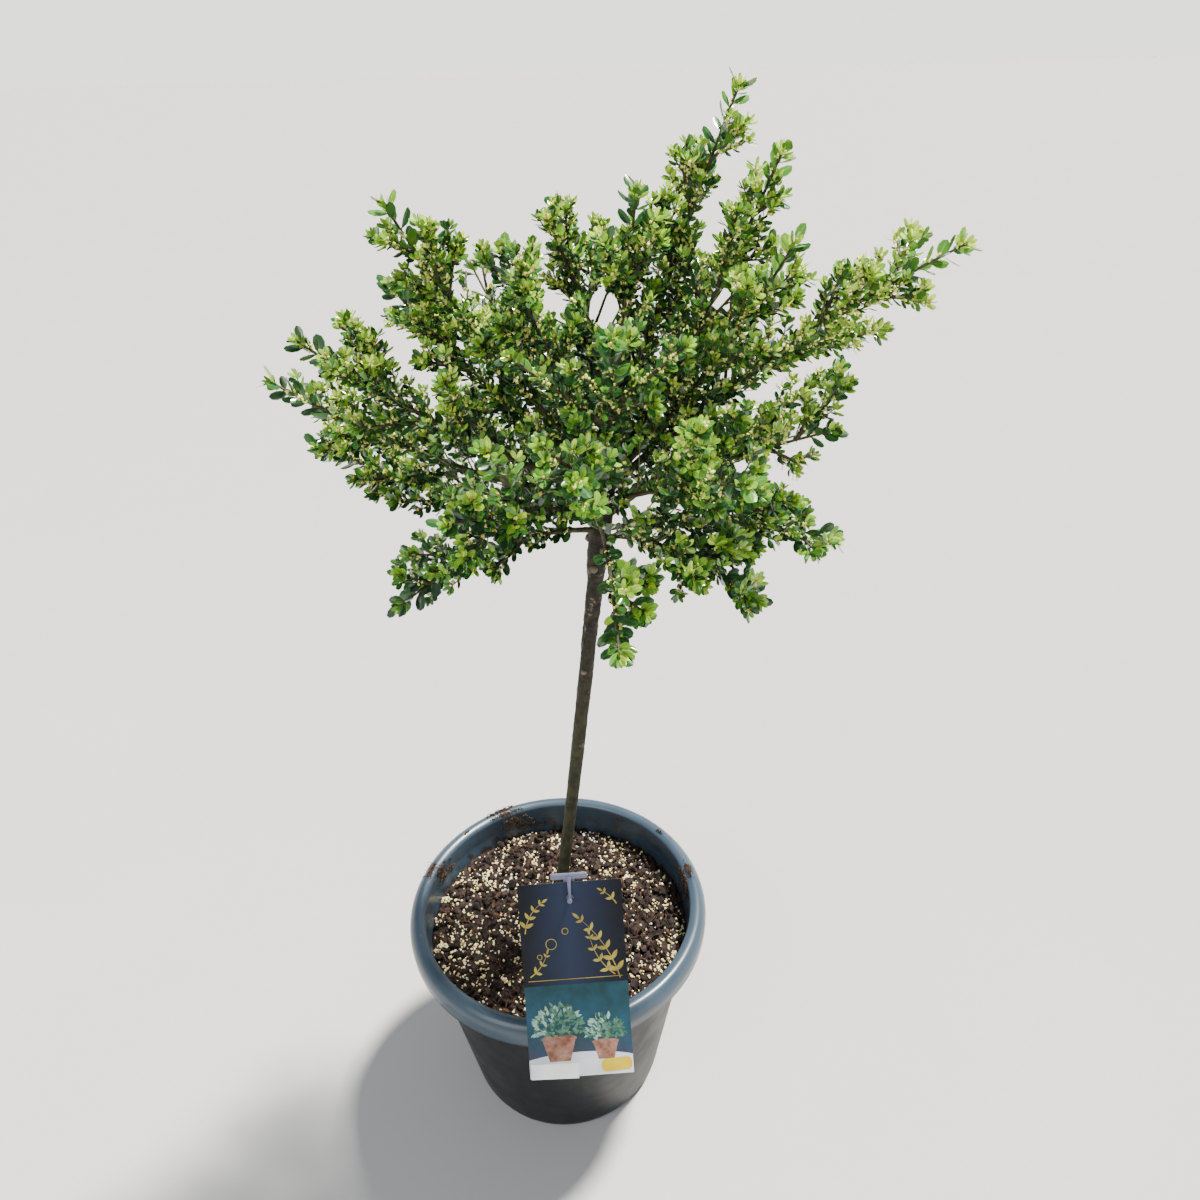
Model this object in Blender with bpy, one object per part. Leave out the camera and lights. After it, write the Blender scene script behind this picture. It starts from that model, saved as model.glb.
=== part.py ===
"""A Japanese holly grown as a small standard: one grafted stem with a loose crown, in its round plastic pot.

Units are metres and +Z is up. The origin is the middle of the pot's flat underside, and -Y is the
front, where the plant label leans on the rim.
"""

import math
import random
from typing import NamedTuple

import bmesh
import bpy
from mathutils import Matrix, Vector
from mathutils.bvhtree import BVHTree

# Gap between two pieces that touch
SEAT_GAP = 0.0003

# Pot
POT_HEIGHT = 0.218
POT_RIM_RADIUS = 0.140
POT_NECK_RADIUS = 0.1262
POT_FOOT_RADIUS = 0.0945
POT_WALL = 0.0020
POT_FLOOR = 0.004
POT_LIP_DEPTH = 0.0215
POT_SIDES = 40
FOOT_RING_HEIGHT = 0.006
FOOT_RING_STEP = 0.0023
DRAIN_HOLES = 6
DRAIN_RADIUS = 0.006
DRAIN_CIRCLE_RADIUS = 0.062

# Potting soil
SOIL_EDGE_HEIGHT = 0.185
SOIL_MOUND = 0.004
SOIL_LEVEL_RADIUS = 0.035
SOIL_TOP = SOIL_EDGE_HEIGHT + SOIL_MOUND

# Stem, from its foot on the soil to the graft, and the short leader above it
STEM_FOOT = Vector((-0.002, 0.0, SOIL_TOP + SEAT_GAP))
GRAFT = Vector((0.0495, 0.0, 0.604))
LEADER_TOP = Vector((0.060, 0.003, 0.664))
STEM_SIDES = 10
STEM_BOW = 0.0015
# Radius against the share of the way from foot to graft, with a flared foot and a thick graft
STEM_RADII = (
    (0.000, 0.0088),
    (0.025, 0.0068),
    (0.080, 0.0057),
    (0.360, 0.0051),
    (0.720, 0.0048),
    (0.900, 0.0056),
    (0.955, 0.0082),
    (1.000, 0.0080),
)
LEADER_RADII = ((0.35, 0.0068), (1.00, 0.0048))
# Where shoots were pruned off: share of the way up, turn in degrees, and radius of the stub
PRUNED_STUBS = (
    (0.925, -105, 0.0032),
    (0.962, -62, 0.0034),
    (0.975, 150, 0.0032),
    (0.700, 195, 0.0019),
    (0.520, 170, 0.0018),
)
STUB_LENGTH = 0.0035

# Plant label
LABEL_WIDTH = 0.085
LABEL_LENGTH = 0.160
LABEL_THICKNESS = 0.0006
LABEL_LEAN = math.radians(60.0)
LABEL_TURN = math.radians(2.0)
LABEL_SHIFT = 0.018
LABEL_ABOVE_RIM = 0.126
LABEL_HOLE_RADIUS = 0.003
LABEL_HOLE_INSET = 0.013

# Plastic pick behind the label: a blade with a bar across its top and a prong through the hole
PICK_THICKNESS = 0.0022
PICK_BLADE_WIDTH = 0.009
PICK_BAR_WIDTH = 0.030
PICK_BAR_HEIGHT = 0.004
PICK_ABOVE_LABEL = 0.006
PICK_PRONG_RADIUS = 0.0014
PICK_PRONG_LENGTH = 0.0085
PICK_KNOB_RADIUS = 0.0022

# Growth rule of the crown
SEED = 41
GOLDEN_TURN = math.radians(137.5)
LIMB_SIDES = 5
LIMB_RINGS = 4
LIMB_LENGTH = 0.056
LIMB_RADIUS_GAIN = 0.0115
TWIG_SIDES = 3
TWIG_TIP_RADIUS = 0.0011
MASS_STEM_RINGS = 5
FORK_RADIUS = 0.0022
SIDE_SHOOTS = 5
SIDE_SHOOT_RADIUS = 0.0020
SIDE_SHOOT_SHARE = 0.42
SIDE_SHOOT_SPREAD = math.radians(46.0)
SHORTEST_SHOOT = 0.014
LEAF_LENGTH = 0.036
LEAF_WIDTH = 0.022
LEAF_THICKNESS = 0.0015
LEAF_SPREAD = math.radians(50.0)
LEAF_ROOT = 0.0006
LEAF_STALK = 0.008
LEAF_PITCH = 0.022
SPACE_MARGIN = 0.0012


class Bough(NamedTuple):
    """One bough with its foliage. Its tip and the tips of its forks are seen from the graft: turn in
    degrees from +X towards +Y, level distance out, and rise."""

    name: str
    tip: tuple
    lift: float  # how far its middle is lifted off the straight line
    forks: tuple


BOUGHS = (
    Bough("top", (18, 0.099, 0.287), 0.004, ((20, 0.057, 0.251), (24, 0.082, 0.240))),
    Bough("top_right", (-10, 0.115, 0.256), -0.006, ((-8, 0.118, 0.226), (-32, 0.096, 0.226))),
    Bough("upper_right", (-28, 0.131, 0.212), -0.008, ((-40, 0.112, 0.190), (-24, 0.136, 0.176))),
    Bough(
        "far_right",
        (-13, 0.226, 0.203),
        0.012,
        ((-10, 0.155, 0.190), (-15, 0.206, 0.168), (0, 0.178, 0.140)),
    ),
    Bough("mid_right", (-20, 0.166, 0.094), 0.004, ((-14, 0.166, 0.124), (12, 0.185, 0.108))),
    Bough("low_right", (-9, 0.176, -0.002), 0.010, ((-21, 0.143, 0.044), (-15, 0.116, -0.014))),
    Bough("low_front_right", (-38, 0.138, -0.022), 0.016, ((-55, 0.109, 0.002), (-30, 0.118, 0.010))),
    Bough("low_front", (-88, 0.190, 0.012), 0.016, ((-80, 0.158, 0.020),)),
    Bough("mid_front", (-95, 0.165, 0.110), 0.006, ((-91, 0.178, 0.090), (-104, 0.150, 0.126))),
    Bough("front_right", (-61, 0.170, 0.098), 0.004, ((-70, 0.149, 0.130), (-52, 0.160, 0.080))),
    Bough("front_left", (-126, 0.160, 0.070), 0.004, ((-114, 0.152, 0.122), (-128, 0.150, 0.036))),
    Bough("low_left", (-144, 0.170, -0.006), 0.018, ((-138, 0.148, 0.022), (-155, 0.148, 0.018))),
    Bough("left_under", (171, 0.214, 0.062), -0.008, ((182, 0.176, 0.050), (-165, 0.150, 0.046))),
    Bough("left", (180, 0.222, 0.122), -0.012, ((-174, 0.192, 0.074), (172, 0.190, 0.128))),
    Bough("left_over", (-166, 0.190, 0.160), -0.008, ((-160, 0.152, 0.142), (-174, 0.160, 0.168))),
    Bough("upper_left", (-172, 0.126, 0.232), -0.008, ((-163, 0.100, 0.222), (-171, 0.127, 0.186))),
    Bough("crown_left", (-137, 0.074, 0.212), -0.004, ((-157, 0.077, 0.203), (-120, 0.080, 0.190))),
    Bough("crown_right", (-50, 0.042, 0.238), 0.003, ((-46, 0.062, 0.210), (-85, 0.058, 0.212))),
    Bough("upper_front", (-86, 0.120, 0.190), -0.004, ((-118, 0.113, 0.160), (-62, 0.115, 0.165))),
    Bough("crown_back", (122, 0.045, 0.224), 0.004, ((180, 0.030, 0.220), (85, 0.075, 0.205))),
    Bough("low_back_left", (132, 0.190, 0.034), 0.008, ((150, 0.185, 0.050), (116, 0.175, 0.060))),
    Bough("low_back_right", (42, 0.190, 0.030), 0.008, ((22, 0.180, 0.045), (62, 0.178, 0.055))),
    Bough("back", (86, 0.192, 0.112), 0.006, ((104, 0.185, 0.100), (70, 0.180, 0.120))),
    Bough("upper_back_left", (128, 0.150, 0.172), -0.006, ((148, 0.150, 0.160), (108, 0.135, 0.185))),
    Bough("upper_back_right", (48, 0.150, 0.172), -0.006, ((28, 0.150, 0.165), (66, 0.140, 0.180))),
    Bough("left_high", (-177, 0.132, 0.184), -0.006, ((-166, 0.116, 0.166), (172, 0.140, 0.158))),
)


def clear_scene():
    for obj in list(bpy.data.objects):
        bpy.data.objects.remove(obj, do_unlink=True)


def make_material(name, colour, roughness):
    material = bpy.data.materials.new(name)
    material.use_nodes = True
    shader = material.node_tree.nodes["Principled BSDF"]
    shader.inputs["Base Color"].default_value = (*colour, 1.0)
    shader.inputs["Roughness"].default_value = roughness
    material.diffuse_color = (*colour, 1.0)
    return material


def object_from(bm, name, material, smooth_angle=None):
    """Ends a bmesh as a linked object whose faces point out."""
    bmesh.ops.recalc_face_normals(bm, faces=bm.faces)
    mesh = bpy.data.meshes.new(name)
    bm.to_mesh(mesh)
    bm.free()
    mesh.materials.append(material)
    if smooth_angle is not None:
        mesh.shade_smooth()
        mesh.set_sharp_from_angle(angle=smooth_angle)
    obj = bpy.data.objects.new(name, mesh)
    bpy.context.scene.collection.objects.link(obj)
    return obj


def remove(obj):
    mesh = obj.data
    bpy.data.objects.remove(obj, do_unlink=True)
    bpy.data.meshes.remove(mesh)


def as_cutter(obj):
    obj.hide_render = True
    obj.display_type = "WIRE"
    return obj


def add_cut(obj, cutter):
    modifier = obj.modifiers.new("cut", "BOOLEAN")
    modifier.operation = "DIFFERENCE"
    modifier.solver = "EXACT"
    modifier.object = cutter


def apply_modifiers(obj):
    graph = bpy.context.evaluated_depsgraph_get()
    baked = bpy.data.meshes.new_from_object(obj.evaluated_get(graph))
    unbaked = obj.data
    obj.modifiers.clear()
    obj.data = baked
    baked.name = obj.name
    bpy.data.meshes.remove(unbaked)


def join_all(obj, additions):
    """Unites an object with every one of the additions, then removes those."""
    group = bpy.data.collections.new(obj.name + "_additions")
    bpy.context.scene.collection.children.link(group)
    for addition in additions:
        bpy.context.scene.collection.objects.unlink(addition)
        group.objects.link(addition)
    modifier = obj.modifiers.new("join", "BOOLEAN")
    modifier.operation = "UNION"
    modifier.solver = "EXACT"
    modifier.operand_type = "COLLECTION"
    modifier.collection = group
    apply_modifiers(obj)
    for addition in additions:
        remove(addition)
    bpy.data.collections.remove(group)
    keep_largest_body(obj)


def connected_bodies(bm):
    """The vertices of each connected body, smallest body first."""
    unseen = set(bm.verts)
    bodies = []
    while unseen:
        waiting = [unseen.pop()]
        body = []
        while waiting:
            vertex = waiting.pop()
            body.append(vertex)
            for edge in vertex.link_edges:
                other = edge.other_vert(vertex)
                if other in unseen:
                    unseen.discard(other)
                    waiting.append(other)
        bodies.append(body)
    return sorted(bodies, key=len)


def keep_largest_body(obj):
    """Drops the loose scraps and sealed hollows that a Boolean can leave."""
    bm = bmesh.new()
    bm.from_mesh(obj.data)
    for body in connected_bodies(bm)[:-1]:
        bmesh.ops.delete(bm, geom=body, context="VERTS")
    bm.to_mesh(obj.data)
    bm.free()


def turned_body(name, profile, material):
    """Turns an outline of (radius, height) points, which starts and ends on the axis, round Z."""
    bm = bmesh.new()
    rings = []
    for radius, height in profile:
        if radius == 0.0:
            rings.append([bm.verts.new((0, 0, height))] * POT_SIDES)
            continue
        turns = [math.tau * k / POT_SIDES for k in range(POT_SIDES)]
        rings.append([bm.verts.new((radius * math.cos(t), radius * math.sin(t), height)) for t in turns])
    for low, high in zip(rings, rings[1:]):
        for k in range(POT_SIDES):
            after = (k + 1) % POT_SIDES
            corners = dict.fromkeys((low[k], low[after], high[after], high[k]))
            bm.faces.new(list(corners))
    return object_from(bm, name, material, math.radians(40))


def level_direction(turn):
    return Vector((math.cos(turn), math.sin(turn), 0.0))


def tube(points, radii, sides):
    """A closed tapering limb through a line of points, with flat ends."""
    bm = bmesh.new()
    side = Vector((0, 1, 0))
    if abs((points[-1] - points[0]).normalized().y) > 0.8:
        side = Vector((1, 0, 0))
    rings = []
    for index, (point, radius) in enumerate(zip(points, radii)):
        ahead = points[min(index + 1, len(points) - 1)]
        behind = points[max(index - 1, 0)]
        along = (ahead - behind).normalized()
        side = (side - along * side.dot(along)).normalized()
        over = along.cross(side)
        ring = []
        for k in range(sides):
            turn = math.tau * k / sides
            ring.append(bm.verts.new(point + radius * (side * math.cos(turn) + over * math.sin(turn))))
        rings.append(ring)
    for low, high in zip(rings, rings[1:]):
        for k in range(sides):
            after = (k + 1) % sides
            bm.faces.new((low[k], low[after], high[after], high[k]))
    bm.faces.new(rings[0][::-1])
    bm.faces.new(rings[-1])
    return bm


def flat_bar(points, normals, widths, thickness, across):
    """A flat bar through the points, its width along `across` and its thickness along the normals."""
    bm = bmesh.new()
    rings = []
    for point, normal, width in zip(points, normals, widths):
        half_width = across * (width / 2)
        half_thick = normal * (thickness / 2)
        corners = (
            point - half_width - half_thick,
            point + half_width - half_thick,
            point + half_width + half_thick,
            point - half_width + half_thick,
        )
        rings.append([bm.verts.new(corner) for corner in corners])
    for low, high in zip(rings, rings[1:]):
        for k in range(4):
            bm.faces.new((low[k], low[(k + 1) % 4], high[(k + 1) % 4], high[k]))
    bm.faces.new(rings[0][::-1])
    bm.faces.new(rings[-1])
    return bm


def pot_wall_radius(height):
    """Outer radius of the pot's tapering wall."""
    low_radius = POT_FOOT_RADIUS + FOOT_RING_STEP
    low_height = FOOT_RING_HEIGHT + 0.002
    neck_height = POT_HEIGHT - POT_LIP_DEPTH
    share = (height - low_height) / (neck_height - low_height)
    return low_radius + (POT_NECK_RADIUS - low_radius) * share


def drain_cutter(index, material):
    middle = DRAIN_CIRCLE_RADIUS * level_direction(math.tau * (index + 0.4) / DRAIN_HOLES)
    depth = Vector((0, 0, 2 * POT_FLOOR))
    bm = tube([middle - depth, middle + depth], [DRAIN_RADIUS, DRAIN_RADIUS], 8)
    return as_cutter(object_from(bm, f"drain_cutter_{index + 1}", material))


def build_pot(material):
    """Thin-walled pot with a foot ring, drain holes and a lip that curls out and down."""
    top = POT_HEIGHT
    lip_foot = POT_HEIGHT - POT_LIP_DEPTH
    inner_neck = POT_NECK_RADIUS - POT_WALL
    corner = POT_FLOOR + 0.004
    outside = [
        (0.0, 0.0),
        (POT_FOOT_RADIUS, 0.0),
        (POT_FOOT_RADIUS, FOOT_RING_HEIGHT),
        (POT_FOOT_RADIUS + FOOT_RING_STEP, FOOT_RING_HEIGHT + 0.002),
        (POT_NECK_RADIUS, lip_foot),
        (POT_NECK_RADIUS + 0.0012, top - 0.0060),
        (POT_NECK_RADIUS + 0.0045, top - 0.0024),
        (POT_RIM_RADIUS - 0.0052, top - 0.0034),
        (POT_RIM_RADIUS - 0.0026, top - 0.0090),
        (POT_RIM_RADIUS - 0.0028, lip_foot),
    ]
    lip = [
        (POT_RIM_RADIUS - 0.0006, lip_foot),
        (POT_RIM_RADIUS, top - 0.0100),
        (POT_RIM_RADIUS - 0.0020, top - 0.0042),
        (POT_RIM_RADIUS - 0.0062, top - 0.0006),
        (POT_NECK_RADIUS + 0.0036, top),
        (inner_neck + 0.0004, top - 0.0050),
    ]
    inside = [
        (inner_neck, lip_foot),
        (pot_wall_radius(corner) - POT_WALL, corner),
        (POT_FOOT_RADIUS - POT_WALL, POT_FLOOR),
        (0.0, POT_FLOOR),
    ]
    pot = turned_body("pot", outside + lip + inside, material)
    for index in range(DRAIN_HOLES):
        add_cut(pot, drain_cutter(index, material))
    return pot


def build_soil(material):
    """Soil that fills the pot, a little mounded towards the stem."""
    floor = POT_FLOOR + SEAT_GAP
    corner = POT_FLOOR + 0.004
    inset = POT_WALL + SEAT_GAP
    profile = [
        (0.0, floor),
        (POT_FOOT_RADIUS - inset - 0.0006, floor),
        (pot_wall_radius(corner) - inset - 0.0002, corner + 0.0004),
        (pot_wall_radius(SOIL_EDGE_HEIGHT) - inset, SOIL_EDGE_HEIGHT),
        (0.085, SOIL_EDGE_HEIGHT + 0.55 * SOIL_MOUND),
        (SOIL_LEVEL_RADIUS, SOIL_TOP),
        (0.0, SOIL_TOP),
    ]
    return turned_body("soil", profile, material)


def value_along(table, share):
    """Reads a table of (share, value) pairs, straight between its rows."""
    for (low, first), (high, second) in zip(table, table[1:]):
        if share <= high:
            return first + (second - first) * (share - low) / (high - low)
    return table[-1][1]


def stem_point(share):
    """Middle of the stem, by the share of the way from its foot to the graft."""
    point = STEM_FOOT.lerp(GRAFT, share)
    point.x += STEM_BOW * math.sin(math.pi * share)
    return point


def stem_tube(extra):
    """The stem and leader on a level foot, every radius grown by `extra`."""
    shares = [0.0, 0.025, 0.08, 0.22, 0.36, 0.54, 0.72, 0.90, 0.955, 1.0]
    points = [stem_point(share) for share in shares]
    radii = [value_along(STEM_RADII, share) + extra for share in shares]
    for share, radius in LEADER_RADII:
        points.append(GRAFT.lerp(LEADER_TOP, share))
        radii.append(radius + extra)
    bm = tube(points, radii, STEM_SIDES)
    bm.verts.ensure_lookup_table()
    along = (points[1] - points[0]).normalized()
    for vertex in bm.verts[:STEM_SIDES]:
        vertex.co += along * ((STEM_FOOT.z - vertex.co.z) / along.z)
    return bm


def build_stem(material):
    """The stem with the stubs of the shoots pruned off it."""
    stem = object_from(stem_tube(0.0), "trunk", material, math.radians(50))
    stubs = []
    for share, turn, size in PRUNED_STUBS:
        root = stem_point(share)
        radius = value_along(STEM_RADII, share)
        out = (level_direction(math.radians(turn)) + Vector((0, 0, 0.35))).normalized()
        ends = [root + out * (0.3 * radius), root + out * (radius + STUB_LENGTH)]
        stubs.append(object_from(tube(ends, [1.15 * size, size], 6), "stub", material))
    join_all(stem, stubs)
    return stem


class LabelPlace:
    """Where the label leans on the rim: its middle, and the directions across it, up it and out of
    its printed face."""

    def __init__(self):
        level_across = Vector((1, 0, 0))
        slope = Vector((0, math.cos(LABEL_LEAN), math.sin(LABEL_LEAN)))
        self.out = Vector((0, -math.sin(LABEL_LEAN), math.cos(LABEL_LEAN)))
        self.across = level_across * math.cos(LABEL_TURN) + slope * math.sin(LABEL_TURN)
        self.up = slope * math.cos(LABEL_TURN) - level_across * math.sin(LABEL_TURN)
        rim = Vector((LABEL_SHIFT, -POT_RIM_RADIUS + 0.0024, POT_HEIGHT - 0.0050))
        clear = LABEL_THICKNESS / 2 + SEAT_GAP + 0.0008
        self.middle = rim + self.out * clear + slope * (LABEL_ABOVE_RIM - LABEL_LENGTH / 2)

    def point(self, up, out=0.0):
        """A point on the label's long middle line, measured from its middle."""
        return self.middle + self.up * up + self.out * out

    def matrix(self):
        rotation = Matrix((self.across, self.up, self.out)).transposed().to_4x4()
        return Matrix.Translation(self.middle) @ rotation


def build_label(place, material):
    """A card with a punched hole near its top edge."""
    bm = bmesh.new()
    bmesh.ops.create_cube(bm, size=1.0)
    bmesh.ops.scale(bm, vec=(LABEL_WIDTH, LABEL_LENGTH, LABEL_THICKNESS), verts=bm.verts)
    bm.transform(place.matrix())
    label = object_from(bm, "label", material)
    hole_up = LABEL_LENGTH / 2 - LABEL_HOLE_INSET
    ends = [place.point(hole_up, -0.005), place.point(hole_up, 0.005)]
    bm = tube(ends, [LABEL_HOLE_RADIUS, LABEL_HOLE_RADIUS], 12)
    add_cut(label, as_cutter(object_from(bm, "label_hole_cutter", material)))
    return label


def build_pick(place, material):
    """A blade that stands on the soil behind the label, with a bar over its top edge and a prong
    with a knob through its hole."""
    behind = -(LABEL_THICKNESS / 2 + SEAT_GAP + PICK_THICKNESS / 2)
    hole_up = LABEL_LENGTH / 2 - LABEL_HOLE_INSET
    top_up = LABEL_LENGTH / 2 + PICK_ABOVE_LABEL
    hole = place.point(hole_up, behind)
    foot = Vector((hole.x, hole.y + 0.004, SOIL_TOP + SEAT_GAP))
    level = Vector((0, 1, 0))
    blade_points = [foot, foot + Vector((0, 0, 0.030))]
    blade_points += [place.point(hole_up - 0.008, behind), place.point(top_up, behind)]
    blade_normals = [level, level, -place.out, -place.out]
    blade_widths = [0.5 * PICK_BLADE_WIDTH] + [PICK_BLADE_WIDTH] * 3
    bm = flat_bar(blade_points, blade_normals, blade_widths, PICK_THICKNESS, place.across)
    bm.verts.ensure_lookup_table()
    for vertex in bm.verts[:4]:
        vertex.co.z = foot.z
    pick = object_from(bm, "label_pick", material)
    bar_points = [place.point(top_up - PICK_BAR_HEIGHT, behind), place.point(top_up + 0.0006, behind)]
    bar_thickness = 1.8 * PICK_THICKNESS
    bm = flat_bar(bar_points, [-place.out] * 2, [PICK_BAR_WIDTH] * 2, bar_thickness, place.across)
    bar = object_from(bm, "bar", material)
    prong_end = behind + PICK_PRONG_LENGTH
    prong_points = [hole]
    prong_points += [place.point(hole_up, prong_end + step) for step in (0.0, 0.0002, 0.0026)]
    radii = [PICK_PRONG_RADIUS, PICK_PRONG_RADIUS, PICK_KNOB_RADIUS, 0.7 * PICK_KNOB_RADIUS]
    prong = object_from(tube(prong_points, radii, 8), "prong", material)
    join_all(pick, [bar, prong])
    return pick


class Line:
    """A smooth curve from a start to a tip, bent by a lift of its middle."""

    def __init__(self, start, tip, lift=0.0):
        self.start = start
        self.tip = tip
        self.length = (tip - start).length
        straight = (tip - start).normalized()
        upward = Vector((0, 0, 1)) - straight * straight.z
        self.middle = start.lerp(tip, 0.5) + upward.normalized() * (2 * lift)
        self.samples = [self.point(k / 12) for k in range(13)]

    def point(self, share):
        rest = 1.0 - share
        return rest * rest * self.start + 2 * rest * share * self.middle + share * share * self.tip

    def heading(self, share):
        towards = (1 - share) * (self.middle - self.start) + share * (self.tip - self.middle)
        return towards.normalized()

    def distance(self, point):
        """Shortest distance from a point to the curve."""
        best = math.inf
        for low, high in zip(self.samples, self.samples[1:]):
            span = high - low
            share = max(0.0, min(1.0, (point - low).dot(span) / span.length_squared))
            best = min(best, (point - low - span * share).length)
        return best


def seen_from_graft(tip):
    turn, reach, rise = tip
    return GRAFT + reach * level_direction(math.radians(turn)) + Vector((0, 0, rise))


class BoughPlan:
    """The lines of one bough: its limb, the stem of its foliage, and its forks."""

    def __init__(self, bough, index):
        self.name = bough.name
        self.index = index
        _, reach, rise = bough.tip
        steepness = math.atan2(rise, reach) / (math.pi / 2)
        height = min(0.96, max(-0.14, 0.02 + 0.98 * steepness))
        self.main = Line(GRAFT.lerp(LEADER_TOP, height), seen_from_graft(bough.tip), bough.lift)
        self.base_radius = 0.0006 + LIMB_RADIUS_GAIN * self.main.length
        self.limb_share = LIMB_LENGTH / self.main.length
        self.stem_share = self.limb_share + SEAT_GAP / self.main.length
        self.stem_end = 1.0 - 0.85 * LEAF_LENGTH / self.main.length
        self.forks = [self.fork_line(seen_from_graft(fork)) for fork in bough.forks]

    def fork_line(self, tip):
        """Leaves the foliage stem where the way to the fork's tip opens at about 35 degrees."""
        shares = [self.stem_share + 0.05 + 0.04 * k for k in range(16)]
        shares = [share for share in shares if share < 0.82]

        def misfit(share):
            towards = tip - self.main.point(share)
            return abs(towards.angle(self.main.heading(share)) - math.radians(35))

        return Line(self.main.point(min(shares, key=misfit)), tip)

    def radius(self, share):
        return self.base_radius + (TWIG_TIP_RADIUS - self.base_radius) * share**0.8

    def limb_tube(self, extra):
        shares = [self.limb_share * k / (LIMB_RINGS - 1) for k in range(LIMB_RINGS)]
        points = [self.main.point(share) for share in shares]
        return tube(points, [self.radius(share) + extra for share in shares], LIMB_SIDES)

    def distance(self, point):
        return min(line.distance(point) for line in [self.main, *self.forks])


def limbs_come_near(plan, other):
    """True where two limbs, past the bark of the leader, come near enough to touch."""
    shares = [k / 5 for k in range(1, 6)]
    own_points = [plan.main.point(share * plan.limb_share) for share in shares]
    other_points = [other.main.point(share * other.limb_share) for share in shares]
    gap = min((a - b).length for a in own_points for b in other_points)
    return gap < 2.5 * (plan.base_radius + other.base_radius)


def build_limb(plan, material, stem_cutter, earlier_plans):
    """A bough from the leader's bark to the start of its foliage, trimmed to the bark and to the
    boughs beside it."""
    limb = object_from(plan.limb_tube(0.0), "bough_" + plan.name, material, math.radians(60))
    add_cut(limb, stem_cutter)
    cutters = []
    for other in earlier_plans:
        if limbs_come_near(plan, other):
            cutter = as_cutter(object_from(other.limb_tube(2 * SEAT_GAP), "limb_cutter", material))
            cutters.append(cutter)
            add_cut(limb, cutter)
    apply_modifiers(limb)
    for cutter in cutters:
        remove(cutter)
    keep_largest_body(limb)
    return limb


def turned_off(heading, turn, spread):
    """A direction that opens from a heading by `spread`, at a turn round it."""
    level = heading.cross(Vector((0, 0, 1)))
    if level.length < 1e-3:
        level = Vector((1, 0, 0))
    level.normalize()
    outward = level * math.cos(turn) + level.cross(heading) * math.sin(turn)
    return (heading * math.cos(spread) + outward * math.sin(spread)).normalized()


def side_shoot_lines(plan, draw):
    """Shoots that leave the foliage stem one golden turn after another, shorter towards its tip."""
    shoots = []
    turn = draw.uniform(0, math.tau)
    foliage = plan.main.length - LIMB_LENGTH
    for k in range(SIDE_SHOOTS):
        along = (k + 0.25 + 0.5 * draw.random()) / SIDE_SHOOTS
        share = plan.stem_share + (0.86 - plan.stem_share) * along
        spread = SIDE_SHOOT_SPREAD * draw.uniform(0.8, 1.15)
        direction = turned_off(plan.main.heading(share), turn, spread) + Vector((0, 0, 0.22))
        length = foliage * SIDE_SHOOT_SHARE * (1.0 - 0.6 * along) * draw.uniform(0.8, 1.2)
        length = max(length, SHORTEST_SHOOT + LEAF_LENGTH / 2)
        start = plan.main.point(share)
        shoots.append(Line(start, start + direction.normalized() * length))
        turn += GOLDEN_TURN
    return shoots


def leaf_body(root, direction, upward, length, width):
    """A thin pointed leaf with a flat underside and a ridge along its top, widest past its middle."""
    across = direction.cross(upward)
    if across.length < 1e-3:
        across = direction.cross(Vector((1, 0, 0)))
    across.normalize()
    normal = across.cross(direction)
    wide = root + direction * (0.55 * length)
    bm = bmesh.new()
    base = bm.verts.new(root)
    tip = bm.verts.new(root + direction * length)
    right = bm.verts.new(wide + across * (width / 2))
    left = bm.verts.new(wide - across * (width / 2))
    ridge = bm.verts.new(wide + normal * LEAF_THICKNESS)
    for first, second in ((right, ridge), (ridge, left), (left, right)):
        bm.faces.new((base, first, second))
        bm.faces.new((tip, second, first))
    return bm


class Crown:
    """Places twigs and leaves so that each bough's foliage keeps to its own space."""

    def __init__(self, plans, wood):
        self.plans = plans
        self.taken = [self.tree_of_object(piece) for piece in wood]

    @staticmethod
    def tree_of_object(obj):
        bm = bmesh.new()
        bm.from_mesh(obj.data)
        tree = BVHTree.FromBMesh(bm)
        bm.free()
        return tree

    def has_room(self, bm, plan, own_trees=()):
        """True where the piece lies nearer its own bough than any other, and touches nothing there."""
        for vertex in bm.verts:
            own = plan.distance(vertex.co) + SPACE_MARGIN
            if any(other.distance(vertex.co) < own for other in self.plans if other is not plan):
                return False
        tree = BVHTree.FromBMesh(bm)
        return not any(tree.overlap(other) for other in [*self.taken, *own_trees])


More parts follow.
